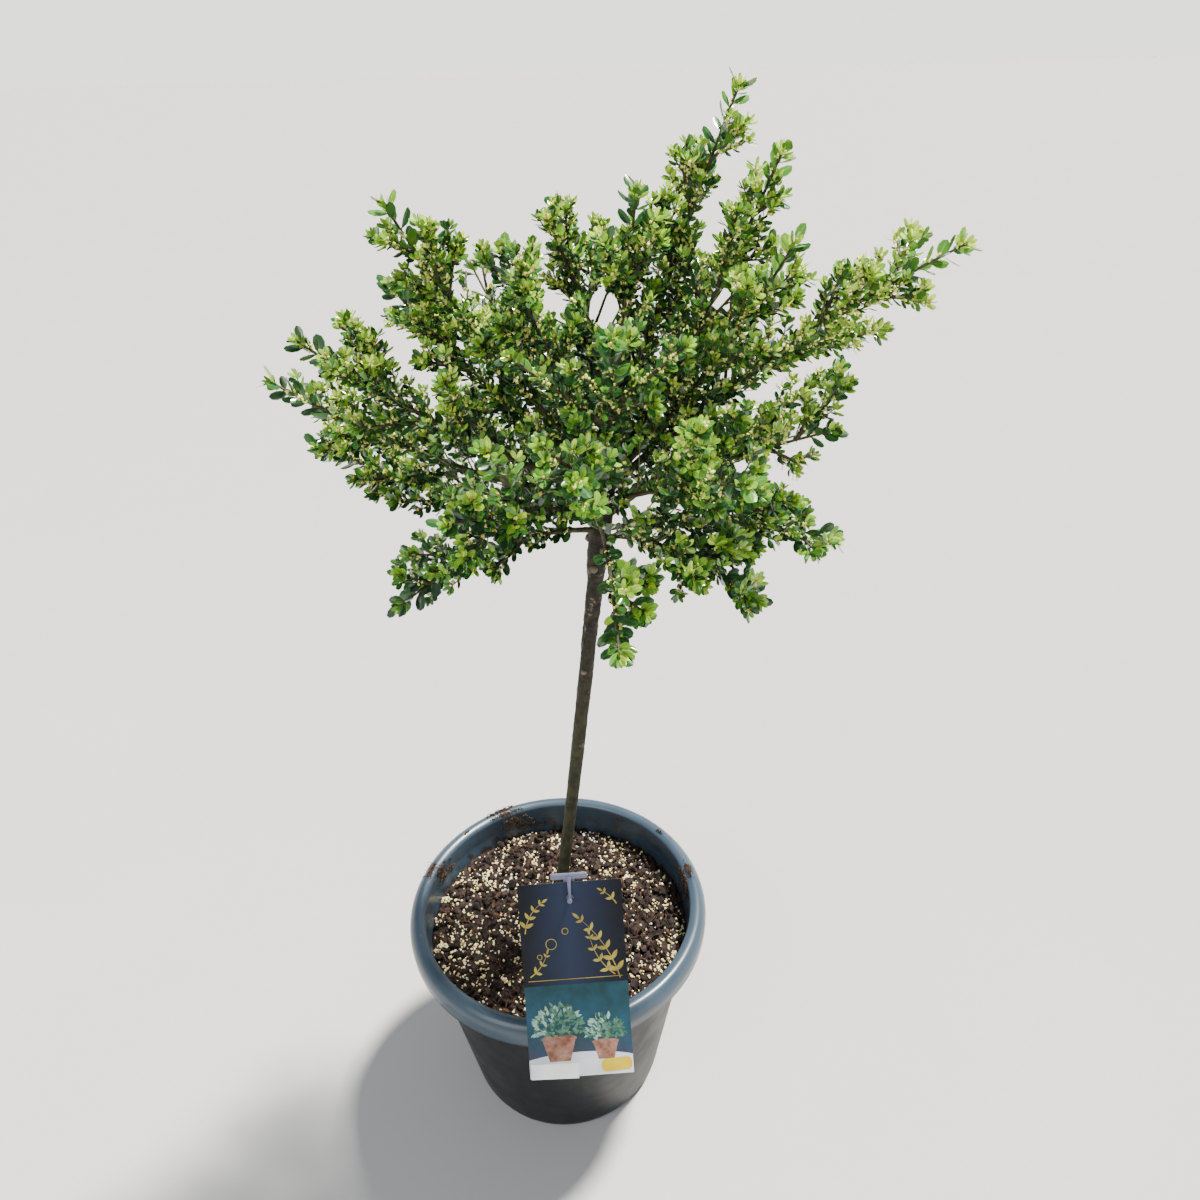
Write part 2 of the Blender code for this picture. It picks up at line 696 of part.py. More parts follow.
class Foliage:
    """The mass of one bough: a stem, forks, side shoots and leaves, joined to one body."""

    def __init__(self, plan, crown, material):
        self.plan = plan
        self.crown = crown
        self.material = material
        self.draw = random.Random(SEED + 7 * plan.index)
        self.pieces = []
        self.trees = []

    def keep(self, bm):
        piece = object_from(bm, "growth", self.material)
        self.pieces.append(piece)
        self.trees.append(Crown.tree_of_object(piece))

    def add_twig(self, line, last_share, radius):
        bm = tube([line.point(0.0), line.point(last_share)], [radius, 0.8 * radius], TWIG_SIDES)
        if self.crown.has_room(bm, self.plan):
            self.keep(bm)
            return True
        bm.free()
        return False

    def add_leaf(self, node, direction, size):
        """Keeps a leaf whose blade crosses nothing, and says whether it did."""
        drift = Vector((self.draw.uniform(-1, 1), self.draw.uniform(-1, 1), 0))
        upward = Vector((0, 0, 1)) + 0.35 * drift
        length = size * LEAF_LENGTH
        width = size * LEAF_WIDTH
        blade = leaf_body(node + direction * LEAF_STALK, direction, upward, length - LEAF_STALK, width)
        room = self.crown.has_room(blade, self.plan, self.trees)
        blade.free()
        if room:
            root = node - direction * LEAF_ROOT
            self.keep(leaf_body(root, direction, upward, length + LEAF_ROOT, width))
        return room

    def add_leaves(self, line, first_share, last_share):
        """Leaves about one golden turn after another along a line, and one at its end."""
        self.add_leaf(line.point(last_share), line.heading(last_share), 0.85)
        span = line.length * (last_share - first_share)
        count = max(1, round(span / LEAF_PITCH))
        turn = self.draw.uniform(0, math.tau)
        for k in range(count):
            share = last_share - (last_share - first_share) * (k + 0.5) / count
            for nudge in (0.0, 0.8, -0.8, 1.6, -1.6):
                direction = turned_off(line.heading(share), turn + nudge, LEAF_SPREAD)
                if self.add_leaf(line.point(share), direction, self.draw.uniform(0.86, 1.06)):
                    break
            turn += GOLDEN_TURN

    def build(self):
        plan = self.plan
        span = plan.stem_end - plan.stem_share
        shares = [plan.stem_share + span * k / (MASS_STEM_RINGS - 1) for k in range(MASS_STEM_RINGS)]
        points = [plan.main.point(share) for share in shares]
        bm = tube(points, [plan.radius(share) for share in shares], TWIG_SIDES)
        stem = object_from(bm, "foliage_" + plan.name, self.material)
        self.trees.append(Crown.tree_of_object(stem))
        shoots = [(fork, FORK_RADIUS) for fork in plan.forks]
        shoots += [(shoot, SIDE_SHOOT_RADIUS) for shoot in side_shoot_lines(plan, self.draw)]
        grown = []
        for line, radius in shoots:
            last_share = max(1.0 - 0.8 * LEAF_LENGTH / line.length, SHORTEST_SHOOT / line.length)
            if self.add_twig(line, last_share, radius):
                grown.append((line, last_share))
        for line, last_share in grown:
            self.add_leaves(line, 0.15, last_share)
        self.add_leaves(plan.main, plan.stem_share, plan.stem_end)
        self.crown.taken.extend(self.trees[1:])
        join_all(stem, self.pieces)
        return stem


def build_crown(stem, bark, leaf_green):
    plans = [BoughPlan(bough, index) for index, bough in enumerate(BOUGHS)]
    stem_cutter = as_cutter(object_from(stem_tube(SEAT_GAP), "stem_cutter", bark))
    wood = [stem]
    for plan in plans:
        wood.append(build_limb(plan, bark, stem_cutter, plans[: plan.index]))
    remove(stem_cutter)
    crown = Crown(plans, wood)
    for plan in plans:
        Foliage(plan, crown, leaf_green).build()


def main():
    clear_scene()
    pot_plastic = make_material("pot_plastic", (0.035, 0.042, 0.052), 0.45)
    soil_brown = make_material("soil", (0.040, 0.022, 0.014), 0.95)
    bark = make_material("bark", (0.085, 0.070, 0.048), 0.80)
    leaf_green = make_material("leaf", (0.085, 0.200, 0.035), 0.38)
    card = make_material("label_card", (0.030, 0.035, 0.050), 0.35)
    pick_plastic = make_material("pick_plastic", (0.42, 0.44, 0.56), 0.40)
    build_pot(pot_plastic)
    build_soil(soil_brown)
    stem = build_stem(bark)
    place = LabelPlace()
    build_label(place, card)
    build_pick(place, pick_plastic)
    build_crown(stem, bark, leaf_green)


main()
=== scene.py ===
"""Looks of the potted Japanese holly: a small grafted standard with a loose crown of tiny glossy leaves.

Units are metres and +Z is up. The origin is the middle of the pot's flat underside, and -Y is the
front, where the plant label leans on the rim.
"""

import math
import random

import bpy
import numpy as np
from mathutils import Matrix, Vector, noise


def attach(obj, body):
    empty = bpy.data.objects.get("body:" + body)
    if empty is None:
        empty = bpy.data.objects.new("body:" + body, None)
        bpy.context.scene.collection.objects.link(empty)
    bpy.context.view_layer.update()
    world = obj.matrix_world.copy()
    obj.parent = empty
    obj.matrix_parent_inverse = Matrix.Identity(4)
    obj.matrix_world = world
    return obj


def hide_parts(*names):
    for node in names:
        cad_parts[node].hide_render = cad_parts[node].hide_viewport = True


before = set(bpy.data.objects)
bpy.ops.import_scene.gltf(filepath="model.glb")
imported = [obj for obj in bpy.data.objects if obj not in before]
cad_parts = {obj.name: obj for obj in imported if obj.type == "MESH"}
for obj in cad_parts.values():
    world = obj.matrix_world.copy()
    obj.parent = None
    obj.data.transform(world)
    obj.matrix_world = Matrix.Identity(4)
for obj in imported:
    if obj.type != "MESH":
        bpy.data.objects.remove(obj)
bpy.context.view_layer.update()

# Camera, at the photograph's viewing angle
CAMERA_PLACE = Vector((0.042, -0.588, 0.898))
CAMERA_YAW = math.radians(0.58)
CAMERA_PITCH = math.radians(31.0)
CAMERA_ROLL = math.radians(-1.64)
CAMERA_LENS = 27.0
CAMERA_SENSOR = 36.0

# Floor
FLOOR_SIZE = 160.0
FLOOR_GAP = 0.0004
FLOOR_GREYS = ((0.41, 0.41, 0.41), (0.43, 0.43, 0.43))
HORIZON_COLOUR = (2.10, 2.07, 2.01)
SKY_COLOUR = (0.44, 0.49, 0.53)
# Where the horizon's colour ends and the sky's begins, as the upward part of the direction looked in
HORIZON_RISE = 0.05
SKY_RISE = 0.24

# Lights, both turned to one point in the plant
SUN_PLACE = (0.9, 0.6, 2.6)
SUN_STRENGTH = 15.5
SUN_COLOUR = (1.0, 0.96, 0.86)
SUN_WIDTH = math.radians(7.0)
FILL_PLACE = (-1.2, -1.6, 2.1)
FILL_STRENGTH = 40.0
FILL_COLOUR = (1.0, 0.98, 0.94)
FILL_SIZE = 1.4
LIT_POINT = Vector((0.03, 0.0, 0.45))

# Gap between two pieces that touch
SEAT_GAP = 0.0003

# Pot
POT_HEIGHT = 0.218
POT_RIM_RADIUS = 0.140
POT_NECK_RADIUS = 0.1262
POT_FOOT_RADIUS = 0.0945
POT_WALL = 0.0020
POT_FLOOR = 0.004
POT_LIP_DEPTH = 0.0215
POT_SIDES = 144
POT_EDGE_ROUNDING = 0.0026
FOOT_RING_HEIGHT = 0.006
FOOT_RING_STEP = 0.0023
DRAIN_HOLES = 6
DRAIN_RADIUS = 0.006
DRAIN_CIRCLE_RADIUS = 0.062
# Turn of the first hole and the first rib, as a share of the step between two
DRAIN_FIRST_TURN = 0.4
RIB_FIRST_TURN = 0.35
HOLE_SIDES = 32
LIP_RIBS = 12
RIB_WIDTH = 0.0022
RIB_HEIGHT = 0.011
RIB_DEPTH = 0.0030
RIB_TAPER = 0.85
RIB_ROUNDING = 0.0004

# Potting soil
SOIL_EDGE_HEIGHT = 0.185
SOIL_MOUND = 0.004
SOIL_LEVEL_RADIUS = 0.035
SOIL_TOP = SOIL_EDGE_HEIGHT + SOIL_MOUND
SOIL_SIDES = 300
SOIL_RING_STEP = 0.0016
# Height of its swells, clods, crumbs and grit, and how many of each lie along a metre
SOIL_SWELLS = (0.0024, 38.0)
SOIL_CLODS = (0.0050, 95.0)
SOIL_CRUMBS = (0.0028, 260.0)
SOIL_GRIT = (0.0008, 900.0)
# How far from the stem the soil is firm, and how far off it is loose; and how near loose pieces come
FIRM_SOIL_RADIUS = 0.006
LOOSE_SOIL_RADIUS = 0.016
STEM_CLEARANCE = 0.012
HEAP_STEM_CLEARANCE = 0.010
# Loose pieces on it: piece, finish, round or rough stone or chip, count, smallest and largest size, and
# the share that lies in small heaps
LOOSE_PIECES = (
    ("soil_crumbs", "soil_crumb", "rough", 1300, 0.0024, 0.0090, 0.0),
    ("bark_chips", "bark_chip", "chip", 420, 0.0040, 0.0120, 0.0),
    ("cream_granules", "cream_granule", "round", 2900, 0.0015, 0.0037, 0.84),
    ("white_granules", "white_granule", "rough", 300, 0.0013, 0.0038, 0.15),
    ("ochre_granules", "ochre_granule", "round", 60, 0.0014, 0.0026, 0.1),
)
HEAP_COUNT = 14
HEAP_SPREAD = 0.0042
FIBRES = 260
FIBRE_RISE = 0.0014

# Stem, from its foot on the soil to the graft, and the short leader above it
STEM_FOOT = Vector((-0.002, 0.0, SOIL_TOP + SEAT_GAP))
GRAFT = Vector((0.0495, 0.0, 0.604))
LEADER_TOP = Vector((0.060, 0.003, 0.664))
STEM_SIDES = 32
STEM_RING_STEP = 0.0022
STEM_BOW = 0.0015
STEM_EVEN_REACH = 0.008
STEM_RADII = (
    (0.000, 0.0088),
    (0.025, 0.0068),
    (0.080, 0.0057),
    (0.300, 0.0052),
    (0.520, 0.0058),
    (0.720, 0.0056),
    (0.900, 0.0062),
    (0.955, 0.0082),
    (1.000, 0.0080),
)
LEADER_RADII = ((0.0, 0.0080), (0.35, 0.0068), (1.00, 0.0048))
# Rings that round the leader's top: rise, and share of its radius
LEADER_CAP = ((0.0010, 0.8), (0.0016, 0.45))
SMOOTH_BARK_HEIGHT = 0.36
OLIVE_BARK_HEIGHT = 0.40
ROUGH_BARK_HEIGHT = 0.52
GRAFT_KNOB_HEIGHT = 0.592
GRAFT_KNOB_REACH = 0.016
# Where shoots were pruned off: share of the way up, turn in degrees, and radius of the stub
PRUNED_STUBS = (
    (0.925, -105, 0.0026),
    (0.962, -62, 0.0025),
    (0.975, 150, 0.0030),
    (0.700, 250, 0.0019),
    (0.520, 300, 0.0018),
)
STUB_LENGTH = 0.0026
STUB_RISE = 0.35
STUB_SIDES = 14

# Plant label
LABEL_WIDTH = 0.085
LABEL_LENGTH = 0.160
LABEL_THICKNESS = 0.0006
LABEL_LEAN = math.radians(60.0)
LABEL_TURN = math.radians(2.0)
LABEL_SHIFT = 0.018
LABEL_ABOVE_RIM = 0.126
LABEL_HOLE_RADIUS = 0.003
LABEL_HOLE_INSET = 0.013
LABEL_CORNER = 0.0012
# Its print: thickness of a layer of ink, and which layer each kind of shape is in
PRINT_LAYER = 0.00006
SHELF_LAYER = 2
BOWL_LAYER = 3
BRIM_LAYER = 3.2
BUSH_LAYER = 3.4
GOLD_LAYER = 4
STICKER_LAYER = 6
PICTURE_HEIGHT = 0.076
# Bowls: place across, size, and leaves of the bush
BOWLS = ((-0.017, 1.06, 170), (0.021, 0.80, 110))
BOWL_WIDTH = 0.026
BOWL_HEIGHT = 0.018
BOWL_TAPER = 0.62
BUSH_REACH = 0.026
BUSH_LEAF = (0.0022, 0.0052)
# Gold sprays: foot across and up from the middle, turn and length, bend, pairs of leaves, and length
# of a leaf, with both angles in degrees
GOLD_SPRAYS = (
    (0.0365, -0.001, 14, 0.060, 34, 6, 0.0100),
    (0.0325, 0.002, 52, 0.040, -46, 4, 0.0078),
    (-0.0385, 0.040, -6, 0.030, -52, 4, 0.0078),
    (-0.0365, 0.004, -58, 0.024, 40, 3, 0.0062),
    (0.0375, 0.060, 30, 0.016, 30, 2, 0.0066),
)
GOLD_STEM_WIDTH = 0.0008
# How far a printed leaf leans off its stem, and how far its tip is drawn in
GOLD_LEAF_LEAN = math.radians(52.0)
GOLD_PINCH = 0.85
# Gold rings: middle across and up, and radius
GOLD_RINGS = ((-0.018, 0.030, 0.0046), (-0.006, 0.040, 0.0028), (-0.028, 0.020, 0.0022))
GOLD_RING_WIDTH = 0.0006

# Plastic pick behind the label
PICK_THICKNESS = 0.0022
PICK_BLADE_WIDTH = 0.009
PICK_BAR_WIDTH = 0.030
PICK_BAR_HEIGHT = 0.004
PICK_ABOVE_LABEL = 0.006
PICK_PRONG_RADIUS = 0.0014
PICK_PRONG_LENGTH = 0.0085
PICK_KNOB_RADIUS = 0.0022

# Growth rule of the crown, as far as its limbs and side shoots
SEED = 41
GOLDEN_TURN = math.radians(137.5)
LIMB_LENGTH = 0.056
LIMB_RADIUS_GAIN = 0.0115
LIMB_TIP_RADIUS = 0.0007
SPRAY_REACH = 0.036
FORK_RADIUS = 0.0017
SIDE_SHOOTS = 5
SIDE_SHOOT_RADIUS = 0.0013
SIDE_SHOOT_SHARE = 0.42
SIDE_SHOOT_SPREAD = math.radians(46.0)
SHORTEST_SHOOT = 0.014
SHOOT_RISE = 0.22
FORK_SPREAD = math.radians(35.0)
FOLIAGE_END = 0.86
TIP_ROOM = 0.008
LIMB_SIDES = 12
LIMB_RING_STEP = 0.0028
SHOOT_SIDES = 6
SHOOT_RING_STEP = 0.006

# Its finer growth: twigs off every shoot, leaves and buds along every twig
BARE_LIMB = 0.010
TWIG_PITCH = 0.0054
LIMB_TWIG_LENGTH = 0.052
TWIG_LENGTH = 0.027
TWIG_SPREAD = math.radians(37.0)
TWIG_RISE = 0.36
TWIG_SAG = 0.06
TWIG_RADIUS = 0.0007
TWIG_SIDES = 4
LONG_TWIG = 0.03
LEAF_LENGTH = 0.0102
LEAF_WIDTH = 0.0052
LEAF_PITCH = 0.0020
LEAF_SPREAD = math.radians(46.0)
# The crown's core, where the leaf tints are darkest as painted shade, and how far from it the leaves are
# painted fully lit
CROWN_CORE = GRAFT + Vector((0.0, 0.0, 0.08))
CROWN_RADIUS = 0.21
# Where the leaves' upper sides turn: to the light, whose direction drifts, and outwards
LIGHT_SIDE = Vector((0.05, -0.62, 0.9))
LIGHT_DRIFT = (0.48, 0.48, 0.2)
LEAF_OUTWARD = 0.7
# How many tints lighter a leaf is painted, as painted sunlight, when it points to the sunny side, and how
# its tint varies
SUNNY_SIDE = Vector((0.45, 0.10, 0.89))
PAINTED_SUN_TINT = 0.7
TINT_SCATTER = 0.55
MAIN_SPRAY_REACH = 0.044
SPRAY_LEAF_PITCH = 0.0026
ROSETTE_LEAVES = 6
SPRAY_ROSETTE = 13
ROSETTE_SLIMNESS = 0.84
ROSETTE_SPREAD = math.radians(60.0)
ROSETTE_CLOSING = 0.70
ROSETTE_SHRINK = 0.42
BUD_SHARE = 0.50
BUD_SIZE = 0.0013
BUD_REACH = 0.0016
FEWEST_BUDS = 3
MOST_BUDS = 5
TIP_BUD_SHARE = 0.4
TIP_BUD_SIZE = 0.0015

# Boughs with fewer twigs, those with larger leaves, and those with a longer open end
THINNED = {
    "upper_front": 0.30,
    "mid_front": 0.50,
    "front_left": 0.65,
    "low_left": 0.65,
    "low_front": 0.35,
}
LARGE_LEAVED = {
    "low_front": 1.35,
    "mid_front": 1.15,
    "front_left": 1.15,
    "low_right": 1.20,
    "low_front_right": 1.22,
}
LONG_SPRAYS = {
    "top": 0.068,
    "top_right": 0.052,
    "far_right": 0.058,
    "left": 0.052,
    "left_under": 0.054,
}

# Openings in the foliage, as seen from the camera: across and up in millimetres where each crosses
# the plane y = 0, its radius in millimetres, and the share of the leaves missing in it
OPENINGS = (
    (56, 761, 12, 1.0),
    (-76, 739, 5, 1.0),
    (187, 666, 9, 1.0),
    (-22, 782, 8, 1.0),
    (131, 765, 8, 1.0),
    (122, 816, 7, 1.0),
    (150, 649, 6, 1.0),
    (79, 627, 9, 1.0),
    (76, 659, 6, 1.0),
    (43, 596, 13, 1.0),
    (44, 567, 13, 1.0),
    (45, 536, 12, 1.0),
    (20, 563, 22, 1.0),
    (32, 544, 14, 1.0),
    (-19, 653, 26, 0.5),
    (-48, 666, 24, 0.5),
    (8, 641, 18, 0.45),
)


class Bough:
    """One bough with its foliage. Its tip and the tips of its forks are seen from the graft: turn in
    degrees from +X towards +Y, level distance out, and rise."""

    def __init__(self, name, tip, lift, forks):
        self.name = name
        self.tip = tip
        self.lift = lift
        self.forks = forks


BOUGHS = (
    Bough("top", (18, 0.099, 0.287), 0.004, ((20, 0.057, 0.251), (24, 0.082, 0.240))),
    Bough("top_right", (-10, 0.115, 0.256), -0.006, ((-8, 0.118, 0.226), (-32, 0.096, 0.226))),
    Bough("upper_right", (-28, 0.131, 0.212), -0.008, ((-40, 0.112, 0.190), (-24, 0.136, 0.176))),
    Bough(
        "far_right",
        (-13, 0.226, 0.203),
        0.012,
        ((-10, 0.155, 0.190), (-15, 0.206, 0.168), (0, 0.178, 0.140)),
    ),
    Bough("mid_right", (-20, 0.166, 0.094), 0.004, ((-14, 0.166, 0.124), (12, 0.185, 0.108))),
    Bough("low_right", (-9, 0.176, -0.002), 0.010, ((-21, 0.143, 0.044), (-15, 0.116, -0.014))),
    Bough("low_front_right", (-38, 0.138, -0.022), 0.016, ((-55, 0.109, 0.002), (-30, 0.118, 0.010))),
    Bough("low_front", (-88, 0.190, 0.012), 0.016, ((-80, 0.158, 0.020),)),
    Bough("mid_front", (-95, 0.165, 0.110), 0.006, ((-91, 0.178, 0.090), (-104, 0.150, 0.126))),
    Bough("front_right", (-61, 0.170, 0.098), 0.004, ((-70, 0.149, 0.130), (-52, 0.160, 0.080))),
    Bough("front_left", (-126, 0.160, 0.070), 0.004, ((-114, 0.152, 0.122), (-128, 0.150, 0.036))),
    Bough("low_left", (-144, 0.170, -0.006), 0.018, ((-138, 0.148, 0.022), (-155, 0.148, 0.018))),
    Bough("left_under", (171, 0.214, 0.062), -0.008, ((182, 0.176, 0.050), (-165, 0.150, 0.046))),
    Bough("left", (180, 0.222, 0.122), -0.012, ((-174, 0.192, 0.074), (172, 0.190, 0.128))),
    Bough("left_over", (-166, 0.190, 0.160), -0.008, ((-160, 0.152, 0.142), (-174, 0.160, 0.168))),
    Bough("upper_left", (-172, 0.126, 0.232), -0.008, ((-163, 0.100, 0.222), (-171, 0.127, 0.186))),
    Bough("crown_left", (-137, 0.074, 0.212), -0.004, ((-157, 0.077, 0.203), (-120, 0.080, 0.190))),
    Bough("crown_right", (-50, 0.042, 0.238), 0.003, ((-46, 0.062, 0.210), (-85, 0.058, 0.212))),
    Bough("upper_front", (-86, 0.120, 0.190), -0.004, ((-118, 0.113, 0.160), (-62, 0.115, 0.165))),
    Bough("crown_back", (122, 0.045, 0.224), 0.004, ((180, 0.030, 0.220), (85, 0.075, 0.205))),
    Bough("low_back_left", (132, 0.190, 0.034), 0.008, ((150, 0.185, 0.050), (116, 0.175, 0.060))),
    Bough("low_back_right", (42, 0.190, 0.030), 0.008, ((22, 0.180, 0.045), (62, 0.178, 0.055))),
    Bough("back", (86, 0.192, 0.112), 0.006, ((104, 0.185, 0.100), (70, 0.180, 0.120))),
    Bough("upper_back_left", (128, 0.150, 0.172), -0.006, ((148, 0.150, 0.160), (108, 0.135, 0.185))),
    Bough("upper_back_right", (48, 0.150, 0.172), -0.006, ((28, 0.150, 0.165), (66, 0.140, 0.180))),
    Bough("left_high", (-177, 0.132, 0.184), -0.006, ((-166, 0.116, 0.166), (172, 0.140, 0.158))),
)


# Modelling helpers


def deselect_all():
    if bpy.context.mode != "OBJECT":
        bpy.ops.object.mode_set(mode="OBJECT")
    bpy.ops.object.select_all(action="DESELECT")


def pick_up(*objects):
    """Selects these objects alone, the last of them active."""
    deselect_all()
    for obj in objects:
        obj.select_set(True)
    bpy.context.view_layer.objects.active = objects[-1]


def in_hand():
    return bpy.context.view_layer.objects.active


def added(primitive, **settings):
    """The new primitive that an operator adds, alone in hand."""
    deselect_all()
    primitive(**settings)
    return in_hand()


def start_edit(action="SELECT"):
    """Opens the object in hand for mesh work, with all of it selected or none."""
    bpy.ops.object.mode_set(mode="EDIT")
    bpy.ops.mesh.select_all(action=action)


def end_edit(outward=False):
    """Ends the mesh work. `outward` first turns every face outwards."""
    if outward:
        bpy.ops.mesh.select_all(action="SELECT")
        bpy.ops.mesh.normals_make_consistent(inside=False)
    bpy.ops.object.mode_set(mode="OBJECT")


def apply_place(obj):
    pick_up(obj)
    bpy.ops.object.transform_apply(location=True, rotation=True, scale=True)


def apply_modifier(obj, kind, **settings):
    pick_up(obj)
    modifier = obj.modifiers.new(kind.lower(), kind)
    for key, value in settings.items():
        setattr(modifier, key, value)
    bpy.ops.object.modifier_apply(modifier=modifier.name)


def joined(objects):
    """Joins objects into the last of them."""
    pick_up(*objects)
    bpy.ops.object.join()
    return in_hand()


def remove(obj):
    mesh = obj.data
    bpy.data.objects.remove(obj, do_unlink=True)
    bpy.data.meshes.remove(mesh)


def copied(obj, matrix):
    """A copy with its own mesh, moved by a matrix."""
    twin = obj.copy()
    twin.data = obj.data.copy()
    twin.data.transform(matrix)
    bpy.context.scene.collection.objects.link(twin)
    return twin


def cut_away(obj, cutter):
    """Takes the cutter's space out of the object, and removes the cutter."""
    apply_modifier(obj, "BOOLEAN", operation="DIFFERENCE", solver="EXACT", object=cutter)
    remove(cutter)


def smooth_by_angle(obj, degrees):
    pick_up(obj)
    bpy.ops.object.shade_smooth_by_angle(angle=math.radians(degrees))


def finished(obj, name, material, replaced=()):
    """Names a piece, gives it its material, and hangs it on the part."""
    apply_place(obj)
    obj.name = name
    obj.data.name = name
    obj.data.materials.clear()
    obj.data.materials.append(material)
    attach(obj, "root")
    if replaced:
        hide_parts(*replaced)
    return obj


def rounded(outline, radius, steps=4):
    """The outline with each inner corner turned into a short curve."""
    outline = [Vector(point) for point in outline]
    points = [outline[0]]
    for before, corner, after in zip(outline, outline[1:], outline[2:]):
        back = before - corner
        onward = after - corner
        reach = min(radius, 0.48 * back.length, 0.48 * onward.length)
        start = corner + back.normalized() * reach
        end = corner + onward.normalized() * reach
        for k in range(steps + 1):
            share = k / steps
            points.append(start.lerp(corner, share).lerp(corner.lerp(end, share), share))
    points.append(outline[-1])
    return points


def grown(rings, sides):
    """A disc grown ring by ring along a row of (middle, radius), and closed at both ends."""
    middle, radius = rings[0]
    disc = bpy.ops.mesh.primitive_circle_add
    shape = added(disc, vertices=sides, radius=radius, fill_type="NGON", location=middle)
    start_edit()
    for next_middle, next_radius in rings[1:]:
        step = [after - before for before, after in zip(middle, next_middle)]
        bpy.ops.mesh.extrude_region_move(TRANSFORM_OT_translate={"value": step})
        share = next_radius / radius
        bpy.ops.transform.resize(value=(share, share, 1.0), center_override=next_middle)
        middle, radius = next_middle, next_radius
    end_edit(outward=True)
    apply_place(shape)
    return shape


def turned(outline, sides):
    """A round shape with this outline of (radius, height) points."""
    return grown([((0.0, 0.0, height), radius) for radius, height in outline], sides)


class Heap:
    """Points and triangles of many small shapes that become one joined piece."""

    def __init__(self):
        self.points = []
        self.faces = []
        self.edges = []
        self.count = 0

    def add(self, points, faces, edges=None):
        """`edges`, if given, tells for each point how near it lies to its leaf's margin."""
        self.points.append(points)
        self.faces.append(faces + self.count)
        if edges is not None:
            self.edges.append(edges)
        self.count += len(points)

    def add_copies(self, template, matrices):
        """Adds a copy of a (points, faces) template for each 4 by 4 matrix."""
        points, faces = template
        for matrix in matrices:
            turned_points = points @ np.array(matrix.to_3x3()).T + np.array(matrix.translation)
            self.add(turned_points, faces)

    def shape(self, name, smooth=True):
        mesh = bpy.data.meshes.new(name)
        mesh.from_pydata(np.concatenate(self.points).tolist(), [], np.concatenate(self.faces).tolist())
        if self.edges:
            edge = mesh.attributes.new("edge", "FLOAT", "POINT")
            edge.data.foreach_set("value", np.concatenate(self.edges))
        mesh.validate()
        if smooth:
            mesh.shade_smooth()
        obj = bpy.data.objects.new(name, mesh)
        bpy.context.scene.collection.objects.link(obj)
        return obj

    def piece(self, name, material, slot, replaced=(), smooth=True):
        return finished(self.shape(name, smooth), name, material, replaced)


def template_of(obj):
    """Points and triangles of a modelled shape, which is then put away."""
    mesh = obj.data
    mesh.calc_loop_triangles()
    points = np.array([vertex.co[:] for vertex in mesh.vertices])
    faces = np.array([triangle.vertices[:] for triangle in mesh.loop_triangles])
    remove(obj)
    return points, faces


def value_along(table, share):
    """Reads a table of (share, value) pairs, straight between its rows."""
    for (low, first), (high, second) in zip(table, table[1:]):
        if share <= high:
            return first + (second - first) * (share - low) / (high - low)
    return table[-1][1]


def eased(low, high, value):
    """Rises smoothly from 0 at `low` to 1 at `high`."""
    share = max(0.0, min(1.0, (value - low) / (high - low)))
    return share * share * (3 - 2 * share)


# Material helpers


def opaque(colour):
    """A colour with its fourth number; a socket stays as it is."""
    return (*colour, 1.0) if isinstance(colour, tuple) else colour


class Desk:
    """Places and links the nodes of one tree."""

    def __init__(self, tree):
        self.tree = tree

    def node(self, kind, inputs=(), **settings):
        node = self.tree.nodes.new(kind)
        for key, value in settings.items():
            setattr(node, key, value)
        for key, value in dict(inputs).items():
            if isinstance(value, bpy.types.NodeSocket):
                self.tree.links.new(value, node.inputs[key])
            else:
                node.inputs[key].default_value = value
        return node

    def noise(self, vector, scale, detail=3.0, rough=0.55):
        inputs = {"Vector": vector, "Scale": scale, "Detail": detail, "Roughness": rough}
        return self.node("ShaderNodeTexNoise", inputs).outputs["Fac"]

    def between(self, value, low, high, to_low=0.0, to_high=1.0):
        inputs = {"Value": value, "From Min": low, "From Max": high, "To Min": to_low, "To Max": to_high}
        return self.node("ShaderNodeMapRange", inputs).outputs["Result"]

    def maths(self, operation, first, second):
        return self.node("ShaderNodeMath", {0: first, 1: second}, operation=operation).outputs[0]

    def times(self, first, second):
        return self.maths("MULTIPLY", first, second)

    def mixed(self, mask, first, second):
        inputs = {0: mask, 6: opaque(first), 7: opaque(second)}
        return self.node("ShaderNodeMix", inputs, data_type="RGBA").outputs[2]

    def group(self, tree, **inputs):
        node = self.node("ShaderNodeGroup", node_tree=tree)
        for key, value in inputs.items():
            socket = node.inputs[key.replace("_", " ")]
            if isinstance(value, bpy.types.NodeSocket):
                self.tree.links.new(value, socket)
            else:
                socket.default_value = value
        return node.outputs


def new_group(name, inputs, outputs):
    """A node group with named sockets; returns its tree, desk, input sockets and output node."""
    tree = bpy.data.node_groups.new(name, "ShaderNodeTree")
    for label, kind in inputs:
        tree.interface.new_socket(label, in_out="INPUT", socket_type="NodeSocket" + kind)
    for label, kind in outputs:
        tree.interface.new_socket(label, in_out="OUTPUT", socket_type="NodeSocket" + kind)
    desk = Desk(tree)
    start = desk.node("NodeGroupInput")
    end = desk.node("NodeGroupOutput")
    return tree, desk, start.outputs, end


def mottle_group():
    """Two colours dealt out in soft blotches."""
    inputs = [("Vector", "Vector"), ("First", "Color"), ("Second", "Color"), ("Scale", "Float")]
    inputs += [("Edge", "Float")]
    tree, desk, given, end = new_group("mottle", inputs, [("Color", "Color")])
    field = desk.noise(given["Vector"], given["Scale"], 5.0, 0.6)
    low = desk.maths("SUBTRACT", 0.5, given["Edge"])
    high = desk.maths("ADD", 0.5, given["Edge"])
    mask = desk.between(field, low, high)
    tree.links.new(desk.mixed(mask, given["First"], given["Second"]), end.inputs["Color"])
    return tree


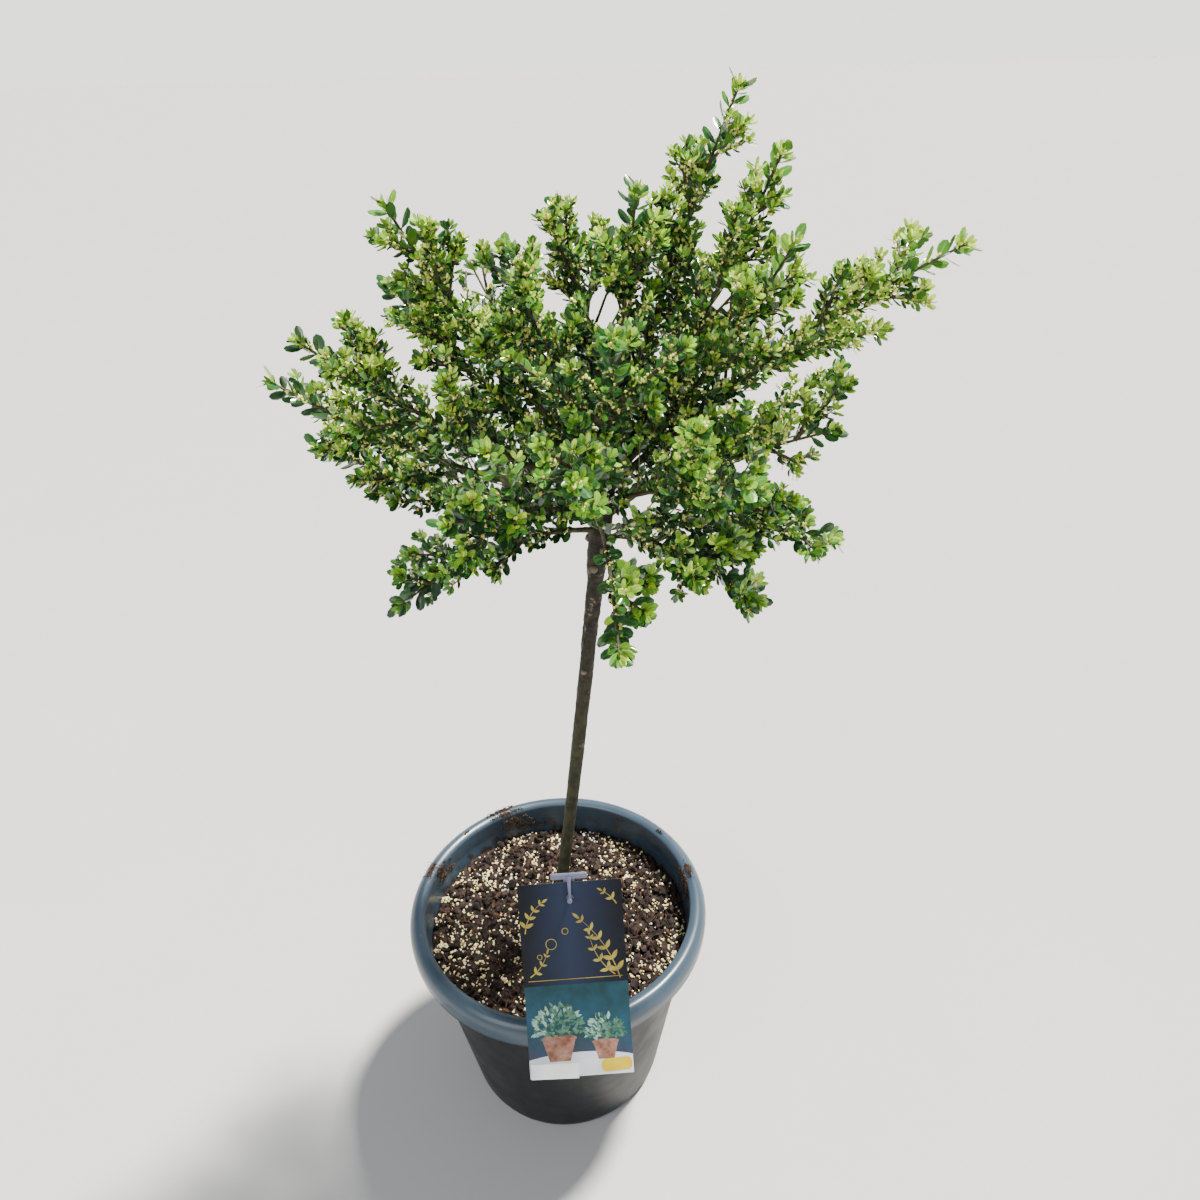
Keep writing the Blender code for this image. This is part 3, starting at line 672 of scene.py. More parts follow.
def relief_group():
    """Fine bumps on a surface."""
    inputs = [("Vector", "Vector"), ("Scale", "Float"), ("Height", "Float")]
    tree, desk, given, end = new_group("fine_relief", inputs, [("Normal", "Vector")])
    field = desk.noise(given["Vector"], given["Scale"], 6.0, 0.6)
    bump = desk.node("ShaderNodeBump", {"Strength": 1.0, "Distance": given["Height"], "Height": field})
    tree.links.new(bump.outputs["Normal"], end.inputs["Normal"])
    return tree


def scuff_group():
    """Thin pale marks, as handling leaves on plastic."""
    inputs = [("Vector", "Vector"), ("Scale", "Float"), ("Amount", "Float")]
    tree, desk, given, end = new_group("scuffs", inputs, [("Mask", "Float")])
    stretch = desk.node("ShaderNodeMapping", {"Vector": given["Vector"], "Rotation": (0.3, 0.5, 0.7)})
    stretch.inputs["Scale"].default_value = (1.0, 1.0, 9.0)
    lines = desk.between(desk.noise(stretch.outputs[0], given["Scale"], 2.0), 0.66, 0.74)
    places = desk.between(desk.noise(given["Vector"], 14.0, 2.0), 0.52, 0.66)
    mask = desk.times(desk.times(lines, places), given["Amount"])
    tree.links.new(mask, end.inputs["Mask"])
    return tree


MOTTLE = mottle_group()
RELIEF = relief_group()
SCUFFS = scuff_group()


class Finish:
    """A material under way: its Principled shader, and a desk with the Object coordinates at hand."""

    def __init__(self, name, roughness, **constants):
        self.material = bpy.data.materials.new(name)
        self.material.use_nodes = True
        self.tree = self.material.node_tree
        self.shader = self.tree.nodes["Principled BSDF"]
        self.shader.inputs["Roughness"].default_value = roughness
        for key, value in constants.items():
            self.shader.inputs[key.replace("_", " ")].default_value = value
        self.desk = Desk(self.tree)
        self.place = self.desk.node("ShaderNodeTexCoord").outputs["Object"]

    def set(self, label, socket):
        self.tree.links.new(socket, self.shader.inputs[label])

    def mottled(self, first, second, scale, edge=0.12):
        values = {"First": opaque(first), "Second": opaque(second), "Scale": scale, "Edge": edge}
        return self.desk.group(MOTTLE, Vector=self.place, **values)["Color"]

    def bumpy(self, scale, height):
        made = self.desk.group(RELIEF, Vector=self.place, Scale=scale, Height=height)
        self.set("Normal", made["Normal"])

    def axis(self, label):
        return self.desk.node("ShaderNodeSeparateXYZ", {0: self.place}).outputs[label]

    def varied_roughness(self, low, high, scale):
        self.set("Roughness", self.desk.between(self.desk.noise(self.place, scale), 0.3, 0.7, low, high))


# Plain finishes: the two colours of their blotches, blotches to a metre, roughness, bumps to a metre,
# height of a bump, and specular level
PLAIN_FINISHES = {
    "soil": ((0.0040, 0.0027, 0.0023), (0.029, 0.0188, 0.0167), 150.0, 0.94, 600.0, 0.0008, 0.2),
    "soil_crumb": ((0.0040, 0.0027, 0.0023), (0.036, 0.0232, 0.0206), 90.0, 0.92, 800.0, 0.0004, 0.2),
    "bark_chip": ((0.015, 0.0088, 0.0060), (0.072, 0.039, 0.024), 120.0, 0.90, 700.0, 0.0003, 0.2),
    "cream_granule": ((0.58, 0.49, 0.22), (0.80, 0.71, 0.43), 120.0, 0.6, 900.0, 0.0001, 0.5),
    "white_granule": ((0.42, 0.40, 0.34), (0.70, 0.67, 0.60), 150.0, 0.8, 700.0, 0.0002, 0.5),
    "ochre_granule": ((0.36, 0.13, 0.02), (0.50, 0.22, 0.05), 150.0, 0.6, 900.0, 0.0001, 0.5),
    "peat_fibre": ((0.022, 0.012, 0.007), (0.085, 0.048, 0.028), 90.0, 0.88, 900.0, 0.0001, 0.2),
    "dried_moss": ((0.020, 0.012, 0.008), (0.100, 0.060, 0.038), 200.0, 0.92, 800.0, 0.0003, 0.2),
    "cut_wood": ((0.050, 0.038, 0.025), (0.135, 0.105, 0.070), 300.0, 0.82, 900.0, 0.0002, 0.5),
    "pick_plastic": ((0.078, 0.086, 0.148), (0.110, 0.119, 0.190), 30.0, 0.38, 700.0, 0.00003, 0.5),
    "shoot_bark": ((0.018, 0.016, 0.006), (0.060, 0.054, 0.018), 220.0, 0.78, 900.0, 0.0002, 0.5),
    "twig_bark": ((0.060, 0.070, 0.016), (0.130, 0.160, 0.036), 120.0, 0.66, 900.0, 0.0001, 0.5),
    "flower_bud": ((0.52, 0.60, 0.10), (0.86, 0.86, 0.25), 200.0, 0.5, 700.0, 0.0001, 0.5),
    "tip_bud": ((0.40, 0.24, 0.03), (0.60, 0.48, 0.10), 200.0, 0.5, 700.0, 0.0001, 0.5),
    "gold_ink": ((0.22, 0.17, 0.035), (0.40, 0.32, 0.07), 50.0, 0.40, 900.0, 0.00001, 0.22),
    "white_ink": ((0.42, 0.45, 0.52), (0.58, 0.60, 0.66), 30.0, 0.40, 900.0, 0.00001, 0.22),
    "clay_ink": ((0.14, 0.055, 0.032), (0.32, 0.17, 0.13), 90.0, 0.40, 900.0, 0.00001, 0.22),
    "green_ink": ((0.010, 0.050, 0.038), (0.10, 0.22, 0.15), 210.0, 0.40, 900.0, 0.00001, 0.22),
    "pale_green_ink": ((0.16, 0.30, 0.24), (0.30, 0.46, 0.38), 150.0, 0.40, 900.0, 0.00001, 0.22),
    "yellow_ink": ((0.50, 0.34, 0.008), (0.58, 0.42, 0.014), 40.0, 0.40, 900.0, 0.00001, 0.22),
    "sticker_paper": ((0.70, 0.70, 0.72), (0.80, 0.80, 0.81), 40.0, 0.6, 900.0, 0.00002, 0.3),
}


def plain_finish(name):
    """A surface of two close colours with a fine relief."""
    first, second, scale, roughness, bump_scale, bump_height, shine = PLAIN_FINISHES[name]
    finish = Finish(name, roughness, Specular_IOR_Level=shine)
    finish.set("Base Color", finish.mottled(first, second, scale))
    finish.varied_roughness(roughness - 0.06, roughness + 0.06, 0.6 * scale)
    finish.bumpy(bump_scale, bump_height)
    return finish.material


# Painted sky reflection and painted shade: the lighter, bluer pair colours the lip and the inside, the
# darker pair the outer wall below the lip
LIT_SLATE = ((0.021, 0.038, 0.060), (0.034, 0.057, 0.084))
SHADED_CHARCOAL = ((0.0062, 0.0074, 0.0100), (0.0104, 0.0118, 0.0150))
POT_DUST = (0.0110, 0.0102, 0.0094)
POT_SCUFF = (0.085, 0.086, 0.088)
SOIL_SPLASH = (0.022, 0.014, 0.010)
DUST_LOW = 0.01
DUST_HIGH = 0.13
SPLASH_LOW = 0.186
SPLASH_HIGH = 0.207


def pot_finish():
    """Moulded plastic: a satin lip and the inside painted lighter and bluer as a painted sky reflection,
    over a wall painted darker as painted shade, with scuffs, splashes of soil inside and dust low down."""
    finish = Finish("pot_plastic", 0.42, Specular_IOR_Level=0.16, Coat_Roughness=0.30)
    desk = finish.desk
    height = finish.axis("Z")
    level = desk.node("ShaderNodeVectorMath", {0: finish.place, 1: (1, 1, 0)}, operation="MULTIPLY")
    reach = desk.node("ShaderNodeVectorMath", {0: level.outputs[0]}, operation="LENGTH").outputs["Value"]
    # Painted light: lighter, bluer plastic on the lip and inside as a painted reflection, darker plastic
    # on the wall as painted shade
    lit_slate = finish.mottled(*LIT_SLATE, 16.0, 0.2)
    shaded_charcoal = finish.mottled(*SHADED_CHARCOAL, 26.0, 0.2)
    lip = desk.between(height, POT_HEIGHT - POT_LIP_DEPTH - 0.001, POT_HEIGHT - POT_LIP_DEPTH + 0.004)
    taper = (pot_wall_radius(POT_HEIGHT) - pot_wall_radius(0.0)) / POT_HEIGHT
    straightened = desk.maths("SUBTRACT", reach, desk.times(height, taper))
    inside = desk.between(straightened, pot_wall_radius(0.0) - 0.0006, pot_wall_radius(0.0) - 0.0014)
    upper = desk.maths("MAXIMUM", lip, inside)
    plastic = desk.mixed(upper, shaded_charcoal, lit_slate)
    dusty = desk.between(height, DUST_HIGH, DUST_LOW)
    blotches = desk.between(desk.noise(finish.place, 18.0), 0.45, 0.70)
    body = desk.mixed(desk.times(dusty, blotches), plastic, POT_DUST)
    scuffs = desk.group(SCUFFS, Vector=finish.place, Scale=70.0, Amount=0.8)["Mask"]
    scuffed = desk.mixed(scuffs, body, POT_SCUFF)
    splash_line = desk.between(height, SPLASH_HIGH, SPLASH_LOW)
    splashes = desk.between(desk.noise(finish.place, 95.0, 6.0, 0.7), 0.50, 0.60)
    dirt = desk.times(desk.times(inside, splash_line), splashes)
    finish.set("Base Color", desk.mixed(dirt, scuffed, SOIL_SPLASH))
    finish.set("Coat Weight", desk.between(upper, 0.0, 1.0, 0.04, 0.60))
    finish.varied_roughness(0.38, 0.54, 30.0)
    finish.bumpy(900.0, 0.00004)
    return finish.material


LOW_BARK = ((0.013, 0.014, 0.005), (0.034, 0.033, 0.013))
HIGH_BARK = ((0.0035, 0.0027, 0.0015), (0.025, 0.0185, 0.0105))
PALE_BARK = (0.20, 0.18, 0.145)


def bark_finish():
    """Smooth dark olive bark low on the stem, rough grey-brown bark with pale patches above."""
    finish = Finish("bark", 0.78, Specular_IOR_Level=0.3)
    desk = finish.desk
    low = finish.mottled(*LOW_BARK, 130.0)
    high = finish.mottled(*HIGH_BARK, 210.0, 0.14)
    patches = desk.between(desk.noise(finish.place, 62.0, 5.0, 0.70), 0.60, 0.67)
    high = desk.mixed(desk.times(patches, 0.6), high, PALE_BARK)
    rising = desk.between(finish.axis("Z"), OLIVE_BARK_HEIGHT, ROUGH_BARK_HEIGHT)
    finish.set("Base Color", desk.mixed(rising, low, high))
    finish.varied_roughness(0.66, 0.88, 160.0)
    finish.bumpy(700.0, 0.00035)
    return finish.material


def paler(colour, gain, lift):
    """A green made brighter and lifted towards pale yellow-green."""
    return tuple(gain * value + lift * part for value, part in zip(colour, (0.6, 1.0, 0.15)))


# A leaf's margin, rib and underside: how much brighter than its blade, and how much paler; the margin's
# brightening is a painted highlight
LEAF_MARGIN_HIGHLIGHT = (1.5, 0.020)
LEAF_RIB = (1.9, 0.030)
LEAF_UNDERSIDE = (0.80, 0.024)
UNDERSIDE_ROUGHNESS = 0.62


def leaf_finish(name, colour, roughness):
    """Glossy leaf of one tint, lighter along its rib, with a painted highlight along its margin and a
    paler, duller underside.
    """
    finish = Finish(name, roughness, Specular_IOR_Level=0.15, Coat_Weight=0.95, Coat_Roughness=0.12)
    desk = finish.desk
    darker = tuple(0.80 * value for value in colour)
    lighter = tuple(1.18 * value for value in colour)
    blade = finish.mottled(darker, lighter, 90.0, 0.2)
    edge = desk.node("ShaderNodeAttribute", attribute_name="edge").outputs["Fac"]
    # Painted highlight: a paler band along the leaf's margin
    margin = desk.between(edge, 0.68, 1.0, 0.0, 0.9)
    rib = desk.between(edge, 0.0, 0.20, 0.6, 0.0)
    upper = desk.mixed(margin, blade, paler(colour, *LEAF_MARGIN_HIGHLIGHT))
    upper = desk.mixed(rib, upper, paler(colour, *LEAF_RIB))
    under = desk.node("ShaderNodeNewGeometry").outputs["Backfacing"]
    finish.set("Base Color", desk.mixed(under, upper, paler(colour, *LEAF_UNDERSIDE)))
    finish.set("Roughness", desk.between(under, 0.0, 1.0, roughness, UNDERSIDE_ROUGHNESS))
    finish.bumpy(420.0, 0.00010)
    return finish.material


# Pot


def pot_wall_radius(height):
    """Outer radius of the pot's tapering wall."""
    low_radius = POT_FOOT_RADIUS + FOOT_RING_STEP
    low_height = FOOT_RING_HEIGHT + 0.002
    neck_height = POT_HEIGHT - POT_LIP_DEPTH
    share = (height - low_height) / (neck_height - low_height)
    return low_radius + (POT_NECK_RADIUS - low_radius) * share


def pot_outline():
    """From the edge of the underside, up the wall, round the lip and down inside to the floor."""
    top = POT_HEIGHT
    lip_foot = POT_HEIGHT - POT_LIP_DEPTH
    inner_neck = POT_NECK_RADIUS - POT_WALL
    corner = POT_FLOOR + 0.004
    outside = [
        (POT_FOOT_RADIUS - 0.0015, 0.0),
        (POT_FOOT_RADIUS, 0.0015),
        (POT_FOOT_RADIUS, FOOT_RING_HEIGHT),
        (POT_FOOT_RADIUS + FOOT_RING_STEP, FOOT_RING_HEIGHT + 0.0014),
        (pot_wall_radius(0.05), 0.05),
        (pot_wall_radius(0.12), 0.12),
        (POT_NECK_RADIUS, lip_foot),
        (POT_NECK_RADIUS + 0.0012, top - 0.0060),
        (POT_NECK_RADIUS + 0.0045, top - 0.0028),
        (POT_RIM_RADIUS - 0.0056, top - 0.0038),
        (POT_RIM_RADIUS - 0.0028, top - 0.0094),
        (POT_RIM_RADIUS - 0.0030, lip_foot),
    ]
    lip = [
        (POT_RIM_RADIUS - 0.0006, lip_foot),
        (POT_RIM_RADIUS, top - 0.0100),
        (POT_RIM_RADIUS - 0.0020, top - 0.0042),
        (POT_RIM_RADIUS - 0.0062, top - 0.0006),
        (POT_NECK_RADIUS + 0.0036, top),
        (inner_neck + 0.0004, top - 0.0026),
    ]
    inside = [
        (inner_neck, lip_foot),
        (pot_wall_radius(0.05) - POT_WALL, 0.05),
        (pot_wall_radius(corner) - POT_WALL, corner),
        (POT_FOOT_RADIUS - POT_WALL - 0.002, POT_FLOOR),
    ]
    return rounded(outside + lip + inside, POT_EDGE_ROUNDING)


def hole_cutter(radius, depth, place):
    cylinder = bpy.ops.mesh.primitive_cylinder_add
    return added(cylinder, vertices=HOLE_SIDES, radius=radius, depth=depth, location=place)


def drain_cutters():
    cutters = []
    for index in range(DRAIN_HOLES):
        place = DRAIN_CIRCLE_RADIUS * level_direction(math.tau * (index + DRAIN_FIRST_TURN) / DRAIN_HOLES)
        place.z = 0.5 * POT_FLOOR
        cutters.append(hole_cutter(DRAIN_RADIUS, 4 * POT_FLOOR, place))
    return joined(cutters)


def build_pot(material):
    pot = turned(pot_outline(), POT_SIDES)
    cut_away(pot, drain_cutters())
    smooth_by_angle(pot, 40)
    return finished(pot, "pot_shell", material, ["pot"])


def build_lip_ribs(material):
    """Small moulded ribs that stiffen the neck under the lip."""
    rib = added(bpy.ops.mesh.primitive_cube_add, size=1.0, scale=(RIB_DEPTH, RIB_WIDTH, RIB_HEIGHT))
    apply_place(rib)
    start_edit("DESELECT")
    end_edit()
    for vertex in rib.data.vertices:
        vertex.select = vertex.co.z < 0 and vertex.co.x > 0
    bpy.ops.object.mode_set(mode="EDIT")
    bpy.ops.transform.translate(value=(-RIB_TAPER * RIB_DEPTH, 0, 0))
    end_edit()
    apply_modifier(rib, "BEVEL", width=RIB_ROUNDING, segments=2)
    height = POT_HEIGHT - POT_LIP_DEPTH - 0.45 * RIB_HEIGHT
    out = Matrix.Translation((pot_wall_radius(height) + 0.25 * RIB_DEPTH, 0, height))
    step = math.tau / LIP_RIBS
    turns = [Matrix.Rotation(step * (k + RIB_FIRST_TURN), 4, "Z") for k in range(LIP_RIBS)]
    ribs = joined([copied(rib, turn @ out) for turn in turns])
    remove(rib)
    smooth_by_angle(ribs, 40)
    return finished(ribs, "pot_lip_ribs", material)


# Soil


def soil_edge_radius():
    return pot_wall_radius(SOIL_EDGE_HEIGHT) - POT_WALL - SEAT_GAP


def soil_height(x, y):
    """Height of the crumbly soil surface."""
    reach = math.hypot(x, y)
    height = SOIL_EDGE_HEIGHT + SOIL_MOUND * (1 - eased(SOIL_LEVEL_RADIUS, soil_edge_radius(), reach))
    spot = Vector((x, y, 0.0))
    relief = SOIL_SWELLS[0] * noise.noise(spot * SOIL_SWELLS[1])
    for rise, dense in (SOIL_CLODS, SOIL_CRUMBS):
        relief += rise * (0.5 - noise.voronoi(spot * dense)[0][0])
    relief += SOIL_GRIT[0] * noise.noise(spot * SOIL_GRIT[1])
    away = (spot - Vector((STEM_FOOT.x, 0, 0))).length
    loose = eased(FIRM_SOIL_RADIUS, LOOSE_SOIL_RADIUS, away)
    return height - 0.0012 * loose + relief * (0.15 + 0.85 * loose)


def build_soil_surface(material):
    edge = soil_edge_radius()
    floor = POT_FLOOR + 0.002
    outline = [(POT_FOOT_RADIUS - POT_WALL - 0.003, floor), (edge, SOIL_EDGE_HEIGHT)]
    rings = int(edge / SOIL_RING_STEP)
    for k in range(1, rings):
        outline.append((edge * (1 - k / rings), SOIL_EDGE_HEIGHT))
    soil = turned(outline, SOIL_SIDES)
    for vertex in soil.data.vertices:
        if vertex.co.z > 0.5 * SOIL_EDGE_HEIGHT:
            vertex.co.z = soil_height(vertex.co.x, vertex.co.y)
    soil.data.shade_smooth()
    return finished(soil, "soil_surface", material, ["soil"])


def stone_template(jitter, seed):
    """A small uneven lump."""
    stone = added(bpy.ops.mesh.primitive_ico_sphere_add, subdivisions=1, radius=0.5)
    start_edit()
    bpy.ops.transform.vertex_random(offset=jitter, seed=seed)
    end_edit()
    return template_of(stone)


def random_turn(draw):
    turn = Matrix.Identity(4)
    for axis in "XYZ":
        turn = turn @ Matrix.Rotation(draw.uniform(0, math.tau), 4, axis)
    return turn


def lump_matrix(draw, place, size):
    """A lump of about this size at a place, flattened and turned at random."""
    stretch = Matrix.Diagonal((size * draw.uniform(0.8, 1.3), size, size * draw.uniform(0.6, 0.95), 1))
    return Matrix.Translation(place) @ random_turn(draw) @ stretch


def soil_spot(draw, spread=1.0):
    """A place on the soil, even over its area, clear of the stem's foot."""
    while True:
        reach = (soil_edge_radius() - 0.002) * math.sqrt(draw.random()) * spread
        turn = draw.uniform(0, math.tau)
        spot = Vector((reach * math.cos(turn), reach * math.sin(turn)))
        if (spot - STEM_FOOT.to_2d()).length > STEM_CLEARANCE:
            return spot


def sprinkled(draw, count, smallest, largest, crowd=0.0, sunk=0.15):
    """Matrices of lumps over the soil. A share `crowd` of them lies in small heaps."""
    heaps = [soil_spot(draw) for _ in range(max(1, int(count * crowd / HEAP_COUNT)))]
    limit = soil_edge_radius() - 0.001
    matrices = []
    while len(matrices) < count:
        if draw.random() < crowd:
            middle = draw.choice(heaps)
            spot = middle + Vector((draw.gauss(0, HEAP_SPREAD), draw.gauss(0, HEAP_SPREAD)))
        else:
            spot = soil_spot(draw)
        if spot.length > limit or (spot - STEM_FOOT.to_2d()).length < HEAP_STEM_CLEARANCE:
            continue
        size = smallest + (largest - smallest) * draw.random() ** 1.6
        place = Vector((spot.x, spot.y, soil_height(spot.x, spot.y) + size * (0.5 - sunk) * 0.6))
        matrices.append(lump_matrix(draw, place, size))
    return matrices


def build_loose_pieces():
    """Slow feed and perlite on the soil, and the coarse crumbs among them."""
    draw = random.Random(SEED + 501)
    round_stone = stone_template(0.02, 1)
    rough_stone = stone_template(0.13, 2)
    chip = (rough_stone[0] * (1.0, 0.38, 0.30), rough_stone[1])
    templates = {"round": round_stone, "rough": rough_stone, "chip": chip}
    for name, finish, form, count, smallest, largest, crowd in LOOSE_PIECES:
        heap = Heap()
        heap.add_copies(templates[form], sprinkled(draw, count, smallest, largest, crowd))
        heap.piece(name, plain_finish(finish), "soil", smooth=form == "round")


def strand(draw, place, length, radius, rise):
    """A thin bent fibre that lies at a place."""
    turn = draw.uniform(0, math.tau)
    along = level_direction(turn)
    aside = Vector((-along.y, along.x, 0))
    bend = draw.uniform(-0.35, 0.35) * length
    points = []
    for share in (-0.5, -0.2, 0.1, 0.5):
        point = place + along * (share * length) + aside * (bend * (0.25 - share * share))
        point.z += rise * (0.25 - share * share) * 4 * draw.uniform(0.6, 1.2)
        points.append(point)
    return limb_mesh(points, [0.6 * radius, radius, radius, 0.5 * radius], 4)


def build_fibres(material):
    """Peat fibres and bits of bark over the soil."""
    draw = random.Random(SEED + 502)
    heap = Heap()
    for _ in range(FIBRES):
        spot = soil_spot(draw, 0.96)
        length = draw.uniform(0.006, 0.017)
        place = Vector((spot.x, spot.y, soil_height(spot.x, spot.y) + 0.0009))
        heap.add(*strand(draw, place, length, draw.uniform(0.00025, 0.0006), FIBRE_RISE))
    return heap.piece("soil_fibres", material, "soil")


# On top of the rim, which is above this height, the moss lies level
RIM_MOSS_TOP = 0.2160
RIM_ROOT_RADIUS = 0.00026
# Where dried moss and root clings to the rim and the wall: turn in degrees, radius, height, spread,
# how much, and the length of its strands
RIM_MOSS = (
    (119.0, 0.1325, 0.2180, 0.0065, 90, 0.008),
    (117.0, 0.1275, 0.2165, 0.0070, 90, 0.010),
    (114.0, 0.1235, 0.2070, 0.0070, 70, 0.010),
    (107.0, 0.1225, 0.1960, 0.0080, 50, 0.008),
    (137.0, 0.1290, 0.2180, 0.0020, 10, 0.004),
    (163.0, 0.1310, 0.2190, 0.0040, 26, 0.020),
    (160.0, 0.1245, 0.2130, 0.0060, 50, 0.012),
    (157.0, 0.1232, 0.2040, 0.0060, 40, 0.008),
    (12.0, 0.1300, 0.2188, 0.0050, 40, 0.010),
    (10.0, 0.1245, 0.2130, 0.0060, 60, 0.010),
    (7.0, 0.1232, 0.2040, 0.0050, 40, 0.008),
    (37.0, 0.1300, 0.2185, 0.0020, 10, 0.004),
    (62.0, 0.1240, 0.2080, 0.0040, 14, 0.005),
)


def build_rim_moss(crumb, fibre):
    """Scraps of dried moss, root and soil that cling to the rim and the wall inside it."""
    draw = random.Random(SEED + 503)
    stone = stone_template(0.13, 5)
    lumps = Heap()
    strands = Heap()
    for degrees, radius, height, spread, amount, strand_length in RIM_MOSS:
        turn = math.radians(degrees)
        for k in range(amount):
            angle = turn + draw.gauss(0, spread) / radius
            reach = radius + draw.uniform(-0.0008, 0.0010)
            level = height + draw.gauss(0, 0.40 * spread) * (height < RIM_MOSS_TOP)
            place = Vector((reach * math.cos(angle), reach * math.sin(angle), level))
            lumps.add_copies(stone, [lump_matrix(draw, place, draw.uniform(0.0006, 0.0024))])
            if k % 2 == 0:
                length = strand_length * draw.uniform(0.5, 1.1)
                strands.add(*strand(draw, place, length, RIM_ROOT_RADIUS, FIBRE_RISE))
    lumps.piece("rim_moss", crumb, "soil", smooth=False)
    strands.piece("rim_roots", fibre, "soil")


# Stem


def stem_middle(height):
    """Middle of the stem, or of the leader above the graft, at a height."""
    if height <= GRAFT.z:
        share = (height - STEM_FOOT.z) / (GRAFT.z - STEM_FOOT.z)
        point = STEM_FOOT.lerp(GRAFT, share)
        point.x += STEM_BOW * math.sin(math.pi * share)
        return point, value_along(STEM_RADII, share)
    share = (height - GRAFT.z) / (LEADER_TOP.z - GRAFT.z)
    return GRAFT.lerp(LEADER_TOP, share), value_along(LEADER_RADII, share)


def even_radius(height):
    """The stem's radius, averaged a little way up and down so that no ring shows as a step."""
    heights = [height + STEM_EVEN_REACH * (k - 2) / 2 for k in range(5)]
    heights = [min(LEADER_TOP.z, max(STEM_FOOT.z, level)) for level in heights]
    return sum(stem_middle(level)[1] for level in heights) / 5


def grown_stem():
    """The stem with level rings along its middle line, and a rounded top."""
    count = int((LEADER_TOP.z - STEM_FOOT.z) / STEM_RING_STEP)
    heights = [STEM_FOOT.z + (LEADER_TOP.z - STEM_FOOT.z) * k / count for k in range(count + 1)]
    rings = [(stem_middle(height)[0], even_radius(height)) for height in heights]
    rings[0] = (rings[0][0], STEM_RADII[0][1])
    top, top_radius = rings[-1]
    for rise, share in LEADER_CAP:
        rings.append((top + Vector((0, 0, rise)), share * top_radius))
    return grown(rings, STEM_SIDES)


def bark_depth(point):
    """How far the bark stands out at a point: smooth and faintly lumpy low down, rough and
    furrowed towards the graft."""
    rough = eased(SMOOTH_BARK_HEIGHT, ROUGH_BARK_HEIGHT, point.z)
    stretched = Vector((point.x * 520, point.y * 520, point.z * 150))
    furrows = noise.noise(stretched) + 0.5 * noise.noise(stretched * 2.3)
    warts = max(0.0, 0.42 - noise.voronoi(point * 260)[0][0])
    swell = noise.noise(point * 70)
    knob = math.exp(-(((point.z - GRAFT_KNOB_HEIGHT) / GRAFT_KNOB_REACH) ** 2))
    depth = (0.00010 + 0.00056 * rough) * furrows + 0.0012 * warts * (0.35 + rough)
    return depth + 0.0005 * swell * (0.4 + rough) + 0.0012 * knob * noise.noise(point * 120)


def build_trunk(material):
    trunk = grown_stem()
    for vertex in trunk.data.vertices:
        point = vertex.co.copy()
        middle, _ = stem_middle(min(point.z, LEADER_TOP.z))
        out = point - middle
        out.z = 0
        if out.length > 1e-5 and point.z > STEM_FOOT.z + 0.0005:
            vertex.co = point + out.normalized() * bark_depth(point)
    trunk.data.shade_smooth()
    return finished(trunk, "trunk_bark", material, ["trunk"])


def build_pruning_scars(material):
    """Short stubs with pale cut faces where shoots were pruned off."""
    heap = Heap()
    for share, turn, size in PRUNED_STUBS:
        height = STEM_FOOT.z + (GRAFT.z - STEM_FOOT.z) * share
        root, radius = stem_middle(height)
        out = (level_direction(math.radians(turn)) + Vector((0, 0, STUB_RISE))).normalized()
        reaches = [0.5 * radius]
        reaches += [radius + share * STUB_LENGTH for share in (0.4, 0.85, 1.0)]
        radii = [1.25 * size, 1.15 * size, size, 0.85 * size]
        heap.add(*limb_mesh([root + out * reach for reach in reaches], radii, STUB_SIDES))
    return heap.piece("pruning_scars", material, "bark")


# Label and pick


class LabelPlace:
    """Where the label leans on the rim: its middle, and the directions across it, up it and out of
    its printed face."""

    def __init__(self):
        level_across = Vector((1, 0, 0))
        slope = Vector((0, math.cos(LABEL_LEAN), math.sin(LABEL_LEAN)))
        self.out = Vector((0, -math.sin(LABEL_LEAN), math.cos(LABEL_LEAN)))
        self.across = level_across * math.cos(LABEL_TURN) + slope * math.sin(LABEL_TURN)
        self.up = slope * math.cos(LABEL_TURN) - level_across * math.sin(LABEL_TURN)
        rim = Vector((LABEL_SHIFT, -POT_RIM_RADIUS + 0.0024, POT_HEIGHT - 0.0050))
        clear = LABEL_THICKNESS / 2 + SEAT_GAP + 0.0008
        self.middle = rim + self.out * clear + slope * (LABEL_ABOVE_RIM - LABEL_LENGTH / 2)

    def point(self, up, out=0.0):
        """A point on the label's long middle line, measured from its middle."""
        return self.middle + self.up * up + self.out * out

    def matrix(self):
        rotation = Matrix((self.across, self.up, self.out)).transposed().to_4x4()
        return Matrix.Translation(self.middle) @ rotation


LABEL = LabelPlace()


def print_height(layer):
    """How far a layer of print stands over the card's middle."""
    return LABEL_THICKNESS / 2 + PRINT_LAYER * layer


def cut_to_size(shape, width, length, corner=0.0, steps=5):
    """Brings a flat shape of size 1 to its width and length, with its corners rounded if wished."""
    shape.scale = (width, length, 1.0)
    apply_place(shape)
    if corner:
        start_edit()
        bpy.ops.mesh.bevel(offset=corner, segments=steps, affect="VERTICES")
        end_edit()


